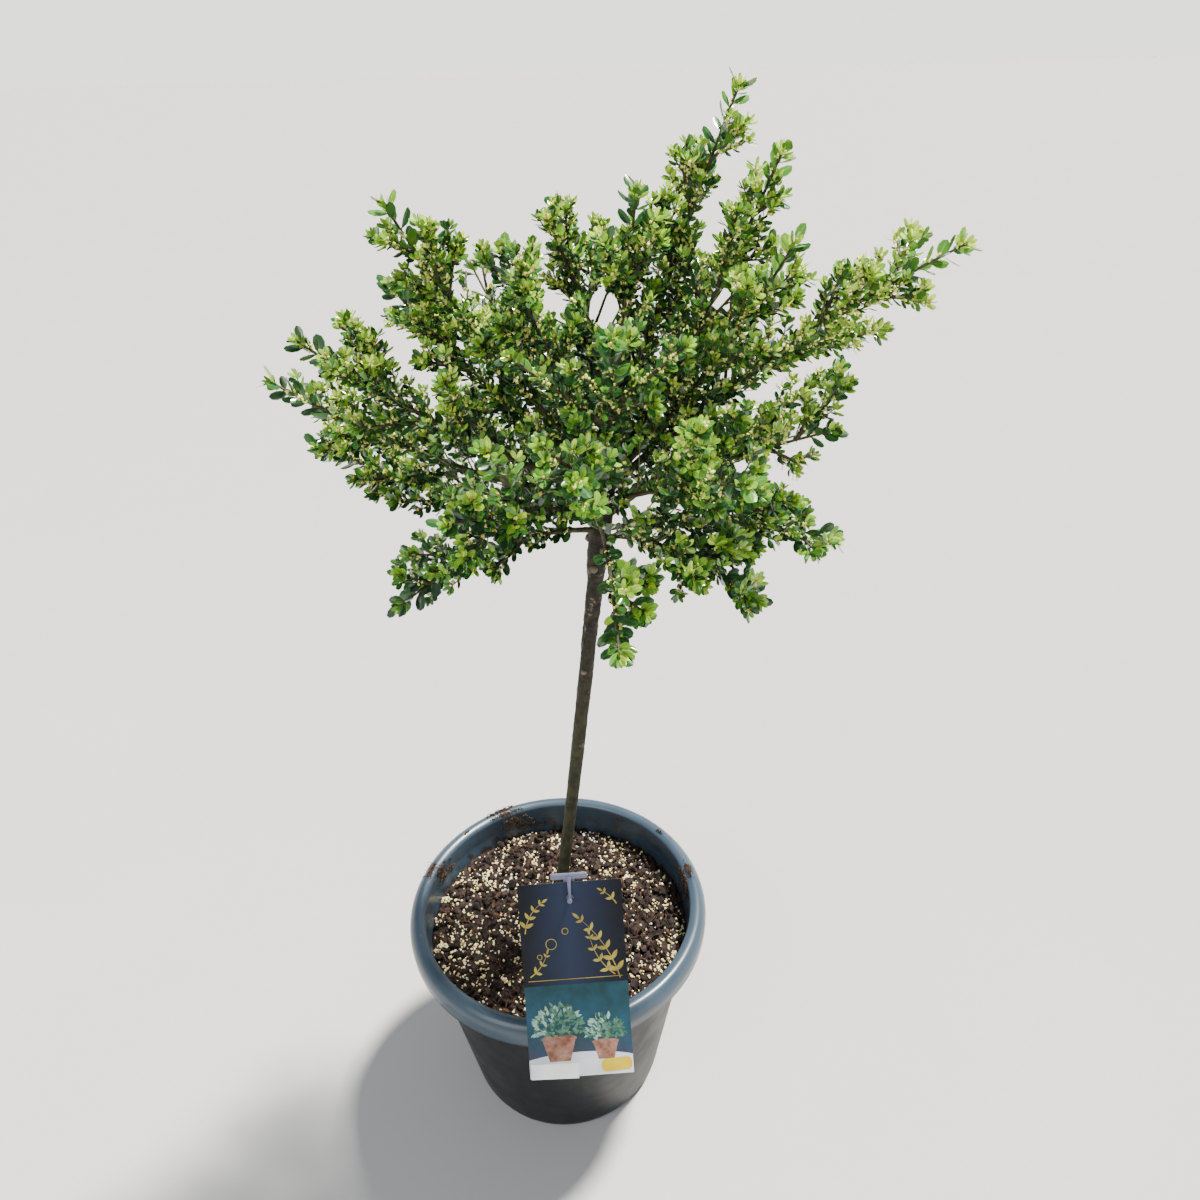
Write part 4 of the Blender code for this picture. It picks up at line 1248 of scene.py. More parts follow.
def flat_shape(sides, width, length, place, turn=0.0, layer=1, pinch=0.0, corner=0.0):
    """A thin printed shape on the label's face: a many-sided disc or, with four sides, a panel.
    `pinch` draws a disc out to a leaf's point, and `corner` rounds a panel."""
    if sides == 4:
        shape = added(bpy.ops.mesh.primitive_plane_add, size=1.0)
    else:
        shape = added(bpy.ops.mesh.primitive_circle_add, vertices=sides, radius=0.5, fill_type="NGON")
    for vertex in shape.data.vertices:
        vertex.co.x *= 1.0 - pinch * (2 * vertex.co.y) ** 2 * (vertex.co.y > 0)
    cut_to_size(shape, width, length, corner)
    move = Matrix.Translation((*place, print_height(layer))) @ Matrix.Rotation(turn, 4, "Z")
    shape.data.transform(move)
    return shape


def on_label(shapes, name, material):
    """Joins printed shapes, gives them the thickness of their ink, and lays them on the label."""
    piece = joined(shapes) if len(shapes) > 1 else shapes[0]
    apply_modifier(piece, "SOLIDIFY", thickness=0.8 * PRINT_LAYER, offset=-1.0)
    piece.data.transform(LABEL.matrix())
    return finished(piece, name, material)


def leaf_pair(x, y, turn, size):
    """Two printed leaves that open from a stem."""
    shapes = []
    for side in (-1, 1):
        lean = turn + side * GOLD_LEAF_LEAN
        middle = (x - 0.5 * size * math.sin(lean), y + 0.5 * size * math.cos(lean))
        shapes.append(flat_shape(12, 0.42 * size, size, middle, lean, GOLD_LAYER, GOLD_PINCH))
    return shapes


def printed_spray(x, y, turn, length, bend, pairs, size):
    """A sprig whose stem bends evenly by `bend` from foot to tip."""
    turn, bend = math.radians(turn), math.radians(bend)
    shapes = []
    steps = 3 * pairs
    step = length / steps
    spot = Vector((x, y))
    for k in range(steps):
        share = (k + 0.5) / steps
        heading = turn + bend * share
        along = Vector((-math.sin(heading), math.cos(heading)))
        middle = spot + along * (0.5 * step)
        width = GOLD_STEM_WIDTH * (1.25 - share)
        shapes.append(flat_shape(4, width, 1.12 * step, middle, heading, GOLD_LAYER))
        spot += along * step
        if k % 3 == 1:
            shapes += leaf_pair(spot.x, spot.y, heading, size * (1 - 0.5 * share))
    tip = spot + along * (0.35 * size)
    shapes.append(flat_shape(12, 0.26 * size, 0.75 * size, tip, turn + bend, GOLD_LAYER, GOLD_PINCH))
    return shapes


def printed_ring(x, y, radius):
    """A thin printed ring."""
    ring = added(bpy.ops.mesh.primitive_circle_add, vertices=40, radius=radius, fill_type="NGON")
    start_edit()
    bpy.ops.mesh.inset(thickness=GOLD_RING_WIDTH, depth=0)
    bpy.ops.mesh.delete(type="FACE")
    end_edit()
    ring.data.transform(Matrix.Translation((x, y, print_height(GOLD_LAYER))))
    return ring


def build_label_card(material):
    """The card, with rounded corners and its punched hole."""
    card = added(bpy.ops.mesh.primitive_plane_add, size=1.0)
    cut_to_size(card, LABEL_WIDTH, LABEL_LENGTH, LABEL_CORNER, 4)
    apply_modifier(card, "SOLIDIFY", thickness=LABEL_THICKNESS, offset=0.0)
    hole = (0, LABEL_LENGTH / 2 - LABEL_HOLE_INSET, 0)
    cut_away(card, hole_cutter(LABEL_HOLE_RADIUS, 0.01, hole))
    card.data.transform(LABEL.matrix())
    return finished(card, "label_panel", material, ["label"])


def printed_gold():
    """Arching sprays over the dark panel, with a few rings among them and a line below."""
    shapes = []
    for spray in GOLD_SPRAYS:
        shapes += printed_spray(*spray)
    shapes += [printed_ring(*ring) for ring in GOLD_RINGS]
    shapes.append(flat_shape(4, LABEL_WIDTH - 0.008, 0.0005, (0, 0.0005), layer=GOLD_LAYER))
    return shapes


def printed_bush(draw, x, foot, size, count):
    """Leaves of a rounded bush over a bowl, the pale ones on the upper left."""
    dark = []
    pale = []
    for _ in range(count):
        turn = draw.uniform(-1.5, 1.5)
        reach = size * BUSH_REACH * math.sqrt(draw.random())
        middle = (x - 0.82 * reach * math.sin(turn), foot + 0.004 + reach * math.cos(turn))
        lean = turn + draw.uniform(-0.7, 0.7)
        leaf = flat_shape(8, *BUSH_LEAF, middle, lean, BUSH_LAYER + draw.random(), pinch=0.8)
        lit = 0.35 * math.sin(turn) + reach / (0.030 * size)
        (pale if lit + draw.uniform(-0.4, 0.4) > 0.85 else dark).append(leaf)
    return dark, pale


def build_label_print():
    """Generic print: gold sprays on the dark panel, and below it a shelf with two bowls of green."""
    right = LABEL_WIDTH / 2
    low = -LABEL_LENGTH / 2
    picture = flat_shape(4, LABEL_WIDTH, PICTURE_HEIGHT, (0, low + PICTURE_HEIGHT / 2))
    on_label([picture], "label_picture_field", picture_finish())
    on_label(printed_gold(), "label_gold_sprays", plain_finish("gold_ink"))
    shelf = flat_shape(48, 1.5 * LABEL_WIDTH, 0.036, (0, low + 0.002), layer=SHELF_LAYER)
    clip_to_card(shelf)
    on_label([shelf], "label_shelf", plain_finish("white_ink"))
    bowls, dark, pale = [], [], []
    draw = random.Random(SEED + 504)
    for x, size, count in BOWLS:
        foot = low + 0.013
        bowls += printed_bowl(x, foot, size)
        more_dark, more_pale = printed_bush(draw, x, foot + 0.016 * size, size, count)
        dark += more_dark
        pale += more_pale
    on_label(bowls, "label_bowls", plain_finish("clay_ink"))
    on_label(dark, "label_bowl_greens", plain_finish("green_ink"))
    on_label(pale, "label_bowl_blooms", plain_finish("pale_green_ink"))
    place = (-right + 0.0205, low + 0.0052)
    sticker = flat_shape(4, 0.039, 0.0125, place, -0.03, STICKER_LAYER)
    on_label([sticker], "label_sticker", plain_finish("sticker_paper"))
    place = (right - 0.0135, low + 0.0080)
    tab = flat_shape(4, 0.025, 0.0105, place, 0.04, STICKER_LAYER, corner=0.004)
    on_label([tab], "label_yellow_tab", plain_finish("yellow_ink"))


def clip_to_card(shape):
    """Cuts a printed shape off at the card's edges."""
    pick_up(shape)
    for x, y in ((-1, 0), (1, 0), (0, -1)):
        edge = (x * LABEL_WIDTH / 2, y * LABEL_LENGTH / 2, 0)
        start_edit()
        bpy.ops.mesh.bisect(plane_co=edge, plane_no=(x, y, 0), clear_outer=True)
        end_edit()


def printed_bowl(x, y, size):
    """A plain printed bowl, wider at its top, with a round brim."""
    height = BOWL_HEIGHT * size
    bowl = flat_shape(4, BOWL_WIDTH * size, height, (x, y + height / 2), layer=BOWL_LAYER)
    for vertex in bowl.data.vertices:
        if vertex.co.y < y + height / 2:
            vertex.co.x = x + BOWL_TAPER * (vertex.co.x - x)
    brim = flat_shape(24, 0.028 * size, 0.0055 * size, (x, y + height), layer=BRIM_LAYER)
    return [bowl, brim]


# Measured up the label from its middle: its hole, the pick's top, and the middle of the pick's bar
HOLE_UP = LABEL_LENGTH / 2 - LABEL_HOLE_INSET
PICK_TOP_UP = LABEL_LENGTH / 2 + PICK_ABOVE_LABEL
PICK_BAR_UP = PICK_TOP_UP - 0.4 * PICK_BAR_HEIGHT
# Measured out from its middle: the middle of the pick behind it, and the finger in front of it
PICK_OUT = -(LABEL_THICKNESS / 2 + SEAT_GAP + PICK_THICKNESS / 2)
FINGER_OUT = LABEL_THICKNESS / 2 + 0.0010


def pick_blade():
    """The blade that stands on the soil, upright at first and then along the label's back."""
    hole = LABEL.point(HOLE_UP, PICK_OUT)
    foot = Vector((hole.x, hole.y + 0.004, SOIL_TOP + SEAT_GAP))
    points = [foot, foot + Vector((0, 0, 0.030))]
    points += [LABEL.point(up, PICK_OUT) for up in (HOLE_UP - 0.008, PICK_TOP_UP)]
    blade = added(bpy.ops.mesh.primitive_plane_add, size=1.0, location=foot)
    blade.scale = (0.5 * PICK_BLADE_WIDTH, PICK_THICKNESS / math.sin(LABEL_LEAN), 1.0)
    apply_place(blade)
    start_edit()
    for index, (low, high) in enumerate(zip(points, points[1:])):
        bpy.ops.mesh.extrude_region_move(TRANSFORM_OT_translate={"value": high - low})
        if index == 0:
            bpy.ops.transform.resize(value=(2.0, 1.0, 1.0), center_override=high)
    end_edit(outward=True)
    apply_modifier(blade, "BEVEL", width=0.0005, segments=2)
    return blade


def pick_bar():
    """The bar over the label's top edge."""
    scale = (PICK_BAR_WIDTH, 1.15 * PICK_BAR_HEIGHT, 1.8 * PICK_THICKNESS)
    bar = added(bpy.ops.mesh.primitive_cube_add, size=1.0, scale=scale)
    apply_place(bar)
    bar.data.transform(LABEL.matrix() @ Matrix.Translation((0, PICK_BAR_UP, PICK_OUT)))
    apply_modifier(bar, "BEVEL", width=0.0009, segments=3)
    return bar


def pick_prong():
    """The prong with its knob through the hole, and the finger that runs down to it."""
    end = PICK_PRONG_LENGTH
    outs = (0.0, end, end + 0.0002, end + 0.0014, end + 0.0026)
    radii = [share * PICK_PRONG_RADIUS for share in (1.2, 1.0)]
    radii += [share * PICK_KNOB_RADIUS for share in (0.9, 1.0, 0.6)]
    heap = Heap()
    heap.add(*limb_mesh([LABEL.point(HOLE_UP, PICK_OUT + out) for out in outs], radii, 20))
    finger = ((PICK_BAR_UP, 0.0), (HOLE_UP + 0.006, 0.0004), (HOLE_UP, 0.0010))
    points = [LABEL.point(up, FINGER_OUT + out) for up, out in finger]
    heap.add(*limb_mesh(points, [0.0019, 0.0013, 0.0009], 12))
    return heap.shape("pick_prong")


def build_pick(material):
    pick = joined([pick_prong(), pick_bar(), pick_blade()])
    smooth_by_angle(pick, 40)
    return finished(pick, "label_pick_plastic", material, ["label_pick"])


# Crown


class Line:
    """A smooth curve from a start to a tip, bent by a lift of its middle."""

    def __init__(self, start, tip, lift=0.0):
        self.start = start
        self.tip = tip
        self.length = (tip - start).length
        straight = (tip - start).normalized()
        upward = Vector((0, 0, 1)) - straight * straight.z
        self.middle = start.lerp(tip, 0.5) + upward.normalized() * (2 * lift)

    def point(self, share):
        rest = 1.0 - share
        return rest * rest * self.start + 2 * rest * share * self.middle + share * share * self.tip

    def heading(self, share):
        towards = (1 - share) * (self.middle - self.start) + share * (self.tip - self.middle)
        return towards.normalized()

    def points(self, first, last, count):
        return [self.point(first + (last - first) * k / (count - 1)) for k in range(count)]


def level_direction(turn):
    return Vector((math.cos(turn), math.sin(turn), 0.0))


def seen_from_graft(tip):
    turn, reach, rise = tip
    return GRAFT + reach * level_direction(math.radians(turn)) + Vector((0, 0, rise))


class BoughPlan:
    """The lines of one bough: its limb with the stem of its foliage, and its forks."""

    def __init__(self, bough, index):
        self.name = bough.name
        self.index = index
        _, reach, rise = bough.tip
        steepness = math.atan2(rise, reach) / (math.pi / 2)
        height = min(0.96, max(-0.14, 0.02 + 0.98 * steepness))
        self.main = Line(GRAFT.lerp(LEADER_TOP, height), seen_from_graft(bough.tip), bough.lift)
        self.base_radius = 0.0006 + LIMB_RADIUS_GAIN * self.main.length
        self.stem_share = (LIMB_LENGTH + SEAT_GAP) / self.main.length
        self.forks = [self.fork_line(seen_from_graft(fork)) for fork in bough.forks]
        self.fullness = THINNED.get(bough.name, 1.0)

    def fork_line(self, tip):
        """Leaves the foliage stem where the way to the fork's tip opens nearest to the fork's spread."""
        shares = [self.stem_share + 0.05 + 0.04 * k for k in range(16)]
        shares = [share for share in shares if share < 0.82]

        def misfit(share):
            towards = tip - self.main.point(share)
            return abs(towards.angle(self.main.heading(share)) - FORK_SPREAD)

        return Line(self.main.point(min(shares, key=misfit)), tip)

    def radius(self, share):
        return self.base_radius + (LIMB_TIP_RADIUS - self.base_radius) * share**0.55


def turned_off(heading, turn, spread):
    """A direction that opens from a heading by `spread`, at a turn round it."""
    level = heading.cross(Vector((0, 0, 1)))
    if level.length < 1e-3:
        level = Vector((1, 0, 0))
    level.normalize()
    outward = level * math.cos(turn) + level.cross(heading) * math.sin(turn)
    return (heading * math.cos(spread) + outward * math.sin(spread)).normalized()


def side_shoot_lines(plan, draw):
    """Shoots that leave the foliage stem one golden turn after another, shorter towards its tip."""
    shoots = []
    turn = draw.uniform(0, math.tau)
    foliage = plan.main.length - LIMB_LENGTH
    for k in range(SIDE_SHOOTS):
        along = (k + 0.25 + 0.5 * draw.random()) / SIDE_SHOOTS
        share = plan.stem_share + (FOLIAGE_END - plan.stem_share) * along
        spread = SIDE_SHOOT_SPREAD * draw.uniform(0.8, 1.15)
        direction = turned_off(plan.main.heading(share), turn, spread) + Vector((0, 0, SHOOT_RISE))
        length = foliage * SIDE_SHOOT_SHARE * (1.0 - 0.6 * along) * draw.uniform(0.8, 1.2)
        length = max(length, SHORTEST_SHOOT + SPRAY_REACH / 2)
        start = plan.main.point(share)
        shoots.append(Line(start, start + direction.normalized() * length))
        turn += GOLDEN_TURN
    return shoots


def limb_mesh(points, radii, sides, relief=None):
    """Points and triangles of a tapering limb along a line, closed at both ends. `relief` gives how
    far its bark stands out at a point."""
    count = len(points)
    side = Vector((0, 1, 0))
    if abs((points[-1] - points[0]).normalized().y) > 0.8:
        side = Vector((1, 0, 0))
    made = []
    for index, (point, radius) in enumerate(zip(points, radii)):
        ahead = points[min(index + 1, count - 1)]
        behind = points[max(index - 1, 0)]
        along = (ahead - behind).normalized()
        side = (side - along * side.dot(along)).normalized()
        over = along.cross(side)
        for k in range(sides):
            turn = math.tau * k / sides
            out = side * math.cos(turn) + over * math.sin(turn)
            extra = relief(point + radius * out) if relief else 0.0
            made.append(point + (radius + extra) * out)
    made += [points[0], points[-1]]
    first = np.arange(count - 1)[:, None] * sides
    here = np.arange(sides)[None, :]
    after = (here + 1) % sides
    low, low_after = first + here, first + after
    high, high_after = low + sides, low_after + sides
    walls = np.stack([low, low_after, high_after, low, high_after, high], axis=-1).reshape(-1, 3)
    ring = np.arange(sides)
    following = (ring + 1) % sides
    start, end = count * sides, count * sides + 1
    last = (count - 1) * sides
    foot = np.stack([following, ring, np.full(sides, start)], axis=-1)
    head = np.stack([last + ring, last + following, np.full(sides, end)], axis=-1)
    return np.array([point[:] for point in made]), np.concatenate([walls, foot, head])


def leaf_template(roll, curl):
    """A leaf of length 1 and width 1, widest past its middle with a rounded tip. `roll` turns its
    edges down and `curl` bends its tip down."""
    stations = ((0.0, 0.035), (0.12, 0.11), (0.36, 0.42), (0.63, 0.50), (0.88, 0.36))
    points = []
    for along, half in stations:
        rib = -curl * along * along
        margin = rib - roll * half
        points += [(-half, along, margin), (0.0, along, rib), (half, along, margin)]
    points.append((0.0, 1.0, -curl))
    faces = []
    for k in range(len(stations) - 1):
        low, high = 3 * k, 3 * k + 3
        for side in (0, 1):
            a, b, c, d = (low + side, low + side + 1, high + side + 1, high + side)
            faces += [(a, b, c), (a, c, d)]
    last = 3 * (len(stations) - 1)
    tip = len(points) - 1
    faces += [(last, last + 1, tip), (last + 1, last + 2, tip)]
    edges = [1.0, 0.0, 1.0] * len(stations) + [1.0]
    return np.array(points), np.array(faces), np.array(edges)


# Forms of the leaves: how far the edges roll down, and how far the tip curls down
LEAF_FORMS = ((0.24, 0.05), (0.36, 0.14), (0.12, -0.04))
# Tints of the leaves, from the darkest, painted shade inside the crown, to the newest growth at the tips,
# which is lighter also as painted light: piece, colour, and roughness
LEAF_TINTS = (
    ("leaves_shade", (0.006, 0.029, 0.008), 0.28),
    ("leaves_deep", (0.016, 0.070, 0.015), 0.26),
    ("leaves_mid", (0.060, 0.178, 0.020), 0.26),
    ("leaves_warm", (0.168, 0.335, 0.024), 0.28),
    ("leaves_fresh", (0.310, 0.500, 0.036), 0.30),
    ("leaves_tip", (0.520, 0.680, 0.070), 0.34),
)


def bud_template():
    """A bud as eight faces round six points, shaded smooth."""
    points = np.array([(1, 0, 0), (0, 1, 0), (-1, 0, 0), (0, -1, 0), (0, 0, 1), (0, 0, -1)], float)
    faces = [(k, (k + 1) % 4, 4) for k in range(4)] + [((k + 1) % 4, k, 5) for k in range(4)]
    return points, np.array(faces)


class Crown:
    """Collects what grows: limbs and twigs by their bark, leaves by their tint, and buds."""

    def __init__(self):
        self.wood = {"boughs": Heap(), "shoots": Heap(), "twigs": Heap()}
        self.leaves = [[] for _ in LEAF_TINTS]
        self.flower_buds = []
        self.tip_buds = []
        self.leaf_gain = 1.0

    def add_leaf(self, draw, root, direction, size, tint, slimness=1.0):
        """A leaf with its upper side to the light: up, and out from the crown's core."""
        light = LIGHT_SIDE + Vector([draw.gauss(0, drift) for drift in LIGHT_DRIFT])
        light += LEAF_OUTWARD * (root - CROWN_CORE).normalized()
        across = direction.cross(light)
        if across.length < 1e-3:
            across = direction.cross(Vector((1, 0, 0)))
        across.normalize()
        normal = across.cross(direction)
        size *= self.leaf_gain
        length = LEAF_LENGTH * size
        if draw.random() < missing_share(root + 0.55 * length * direction):
            return
        width = LEAF_WIDTH * slimness * size * draw.uniform(0.88, 1.12)
        # Painted light: a leaf that points to the sunny side gets a lighter tint
        tint += draw.gauss(0, TINT_SCATTER) + PAINTED_SUN_TINT * direction.dot(SUNNY_SIDE)
        level = min(len(LEAF_TINTS) - 1, max(0, round(tint)))
        shape = draw.randrange(len(LEAF_FORMS))
        self.leaves[level].append((shape, root[:], across[:], direction[:], normal[:], width, length))

    def add_buds(self, draw, root, away):
        """A small cluster of flower buds in the angle of a leaf."""
        if missing_share(root) > 0:
            return
        for _ in range(draw.randrange(FEWEST_BUDS, MOST_BUDS + 1)):
            drift = Vector((draw.uniform(-1, 1), draw.uniform(-1, 1), draw.uniform(-0.4, 1)))
            place = root + (away + drift) * BUD_REACH
            self.flower_buds.append(lump_matrix(draw, place, BUD_SIZE * draw.uniform(0.8, 1.15)))

    def add_rosette(self, draw, tip, heading, tint, count=ROSETTE_LEAVES, size=0.80):
        """The crowded small leaves at the end of a twig, upright and smaller inwards, with a bud."""
        turn = draw.uniform(0, math.tau)
        for k in range(count):
            inward = k / count
            direction = turned_off(heading, turn, ROSETTE_SPREAD * (1 - ROSETTE_CLOSING * inward))
            root = tip - heading * (0.0014 * (1 - inward) + 0.0004 * (count - k - 1))
            leaf_size = size * (1 - ROSETTE_SHRINK * inward)
            self.add_leaf(draw, root, direction, leaf_size, tint + 0.9 * inward - 0.3, ROSETTE_SLIMNESS)
            turn += GOLDEN_TURN
        if draw.random() < TIP_BUD_SHARE:
            self.tip_buds.append(lump_matrix(draw, tip + heading * 0.0008, TIP_BUD_SIZE))

    def add_leaves(self, draw, line, first, last, tint, pitch=LEAF_PITCH, growth=0.5, gain=1.0):
        """Leaves one golden turn after another along a line, fresher by `growth` towards its end."""
        span = line.length * (last - first)
        count = max(2, round(span / (pitch * self.leaf_gain)))
        bud_share = BUD_SHARE * min(1.0, max(0.2, 0.3 + 0.45 * tint))
        turn = draw.uniform(0, math.tau)
        for k in range(count):
            along = (k + 0.5) / count
            share = first + (last - first) * along
            root = line.point(share)
            heading = line.heading(share)
            direction = turned_off(heading, turn, LEAF_SPREAD * draw.uniform(0.75, 1.25))
            size = gain * draw.uniform(0.74, 1.06) * (1 - 0.12 * along)
            self.add_leaf(draw, root, direction, size, tint + growth * along ** 3)
            if draw.random() < bud_share:
                self.add_buds(draw, root, direction)
            turn += GOLDEN_TURN

    def add_spray(self, draw, line, first, last, tint, gain):
        """The open end of a shoot: larger leaves further apart, and the rosette of new ones."""
        gain /= self.leaf_gain**0.7
        self.add_leaves(draw, line, first, last, tint, SPRAY_LEAF_PITCH, 0.4, gain)
        self.add_rosette(draw, line.point(last), line.heading(last), tint + 2.2, SPRAY_ROSETTE, 0.90)

    def add_twig(self, draw, start, direction, length):
        """A fine twig that turns up towards the light, with its leaves."""
        tip = start + direction * length
        line = Line(start, tip, -TWIG_SAG * length)
        if max(missing_share(line.point(0.6)), missing_share(tip)) >= 1:
            return
        rings = 4 if length < LONG_TWIG else 6
        radii = [TWIG_RADIUS * (1 - 0.5 * k / (rings - 1)) for k in range(rings)]
        self.wood["twigs"].add(*limb_mesh(line.points(0.0, 1.0, rings), radii, TWIG_SIDES))
        tint = shade_and_growth_tint(start) + draw.gauss(0, 0.6)
        self.add_leaves(draw, line, 0.15, 1.0, tint, gain=0.76)
        self.add_rosette(draw, tip, line.heading(1.0), 1.2 * tint + 1.5)

    def add_twigs(self, draw, line, length, first, last, fullness):
        """Twigs one golden turn after another along a shoot."""
        span = line.length * (last - first)
        count = max(1, round(fullness * span / TWIG_PITCH))
        turn = draw.uniform(0, math.tau)
        for k in range(count):
            along = (k + 0.3 + 0.4 * draw.random()) / count
            share = first + (last - first) * along**0.8
            heading = line.heading(share)
            direction = turned_off(heading, turn, TWIG_SPREAD * draw.uniform(0.75, 1.25))
            direction = (direction + Vector((0, 0, TWIG_RISE))).normalized()
            twig_length = length * draw.uniform(0.50, 1.0) * (1 - 0.55 * along)
            self.add_twig(draw, line.point(share), direction, twig_length)
            turn += GOLDEN_TURN

    def add_shoot(self, draw, line, radius, fullness):
        """A shoot with its twigs and its own leaves."""
        reach = 1.0 - TIP_ROOM / line.length
        rings = max(4, round(line.length / SHOOT_RING_STEP))
        radii = [radius + (TWIG_RADIUS - radius) * k / (rings - 1) for k in range(rings)]
        points = line.points(0.0, reach, rings)
        self.wood["shoots"].add(*limb_mesh(points, radii, SHOOT_SIDES, shoot_relief))
        self.add_twigs(draw, line, TWIG_LENGTH, 0.12, 0.9 * reach, fullness)
        open_end = max(0.5, reach - 0.6 * SPRAY_REACH / line.length)
        tint = shade_and_growth_tint(line.point(0.5))
        self.add_leaves(draw, line, 0.15, open_end, tint)
        self.add_spray(draw, line, open_end, reach, tint - 0.3, 1.10)

    def grow(self, plan):
        """One bough with everything on it."""
        self.leaf_gain = LARGE_LEAVED.get(plan.name, 1.0)
        main = plan.main
        end = leafy_end(main)
        reach = end - TIP_ROOM / main.length
        rings = round(main.length / LIMB_RING_STEP)
        shares = [reach * k / (rings - 1) for k in range(rings)]
        points = [main.point(share) for share in shares]
        radii = [plan.radius(share) for share in shares]
        self.wood["boughs"].add(*limb_mesh(points, radii, LIMB_SIDES, bough_relief))
        draw = random.Random(SEED + 7 * plan.index)
        shoots = [(fork, FORK_RADIUS) for fork in plan.forks]
        shoots += [(shoot, SIDE_SHOOT_RADIUS) for shoot in side_shoot_lines(plan, draw)]
        for line, radius in shoots:
            if missing_share(line.tip) < 1:
                self.add_shoot(draw, line, radius, plan.fullness)
        last = end - LONG_SPRAYS.get(plan.name, MAIN_SPRAY_REACH) / main.length
        self.add_twigs(draw, main, LIMB_TWIG_LENGTH, BARE_LIMB / main.length, last, plan.fullness)
        tint = shade_and_growth_tint(main.point(0.75))
        self.add_leaves(draw, main, 0.12, last, tint)
        self.add_spray(draw, main, last, reach, tint - 0.4, 1.45)

    def leaf_piece(self, level, templates, material, replaced):
        heap = Heap()
        for shape, template in enumerate(templates):
            chosen = [leaf[1:] for leaf in self.leaves[level] if leaf[0] == shape]
            if not chosen:
                continue
            points, faces, edges = template
            columns = [np.array(column) for column in zip(*chosen)]
            root, across, along, normal = (column[:, None] for column in columns[:4])
            width, length = (column[:, None, None] for column in columns[4:])
            placed = root + across * points[None, :, :1] * width
            placed = placed + along * points[None, :, 1:2] * length
            placed = placed + normal * points[None, :, 2:] * width
            offsets = np.arange(len(chosen))[:, None, None] * len(points)
            faces = (faces[None] + offsets).reshape(-1, 3)
            heap.add(placed.reshape(-1, 3), faces, np.tile(edges, len(chosen)))
        heap.piece(LEAF_TINTS[level][0], material, "leaf", replaced)


def shade_and_growth_tint(point):
    """Which tint the leaves have: darkest at the crown's core and below it as painted shade, yellower
    outwards and upwards as painted light and as fresher growth.
    """
    away = point - CROWN_CORE
    rise = away.z / CROWN_RADIUS
    away.z *= 0.8 if away.z > 0 else 1.5
    # Painted shade darkens the core and the lower side; painted light, together with fresher growth,
    # lightens the outer and upper leaves
    return 1.8 * min(1.0, away.length / CROWN_RADIUS) + (0.5 if rise > 0 else 1.5) * rise - 0.25


def missing_share(point):
    """Which share of the leaves is missing at a point, because an opening of the crown is there."""
    reach = CAMERA_PLACE.y / (CAMERA_PLACE.y - point.y)
    seen = CAMERA_PLACE.lerp(point, reach)
    share = 0.0
    for across, up, radius, missing in OPENINGS:
        if math.hypot(1000 * seen.x - across, 1000 * seen.z - up) < radius:
            share = max(share, missing)
    return share


def leafy_end(line):
    """How far along it a limb grows: to its tip, or to the edge of an opening that its tip is in."""
    end = 1.0
    while end > 0.5 and missing_share(line.point(end)) >= 1:
        end -= 0.02
    return end


def bough_relief(point):
    stretched = point * 420
    return 0.00022 * noise.noise(stretched) + 0.00012 * noise.noise(stretched * 2.7)


def shoot_relief(point):
    return 0.00012 * noise.noise(point * 500)


def build_crown():
    young_bark = plain_finish("shoot_bark")
    crown = Crown()
    for index, bough in enumerate(BOUGHS):
        crown.grow(BoughPlan(bough, index))
    limbs = ["bough_" + bough.name for bough in BOUGHS]
    masses = ["foliage_" + bough.name for bough in BOUGHS]
    crown.wood["boughs"].piece("crown_boughs", young_bark, "bark", limbs)
    crown.wood["shoots"].piece("crown_shoots", young_bark, "bark", masses)
    crown.wood["twigs"].piece("crown_twigs", plain_finish("twig_bark"), "bark", masses)
    templates = [leaf_template(roll, curl) for roll, curl in LEAF_FORMS]
    for level, (name, colour, roughness) in enumerate(LEAF_TINTS):
        crown.leaf_piece(level, templates, leaf_finish(name, colour, roughness), masses)
    for name, matrices in (("flower_bud", crown.flower_buds), ("tip_bud", crown.tip_buds)):
        heap = Heap()
        heap.add_copies(bud_template(), matrices)
        heap.piece(name + "s", plain_finish(name), "leaf", masses)


# Stage


def add_light(name, kind, place, strength, colour):
    lamp = bpy.data.lights.new(name, kind)
    lamp.energy = strength
    lamp.color = colour
    obj = bpy.data.objects.new(name, lamp)
    bpy.context.scene.collection.objects.link(obj)
    obj.location = place
    obj.rotation_euler = (LIT_POINT - obj.location).to_track_quat("-Z", "Y").to_euler()
    return lamp


def soft_sky():
    """An even pale sky, as bright at the horizon as the far floor, so that no line shows there."""
    world = bpy.data.worlds.new("soft_sky")
    world.use_nodes = True
    desk = Desk(world.node_tree)
    direction = desk.node("ShaderNodeTexCoord").outputs["Generated"]
    rise = desk.node("ShaderNodeSeparateXYZ", {0: direction}).outputs["Z"]
    share = desk.between(rise, HORIZON_RISE, SKY_RISE)
    colour = desk.mixed(share, HORIZON_COLOUR, SKY_COLOUR)
    background = world.node_tree.nodes["Background"]
    world.node_tree.links.new(colour, background.inputs["Color"])
    return world


def build_stage():
    floor = added(bpy.ops.mesh.primitive_plane_add, size=FLOOR_SIZE, location=(0, 0, -FLOOR_GAP))
    apply_place(floor)
    floor.name = "floor"
    finish = Finish("pale_floor", 0.85)
    finish.set("Base Color", finish.mottled(*FLOOR_GREYS, 3.0, 0.3))
    floor.data.materials.append(finish.material)
    bpy.context.scene.world = soft_sky()
    sun = add_light("key_light", "SUN", SUN_PLACE, SUN_STRENGTH, SUN_COLOUR)
    sun.angle = SUN_WIDTH
    fill = add_light("fill_light", "AREA", FILL_PLACE, FILL_STRENGTH, FILL_COLOUR)
    fill.size = FILL_SIZE


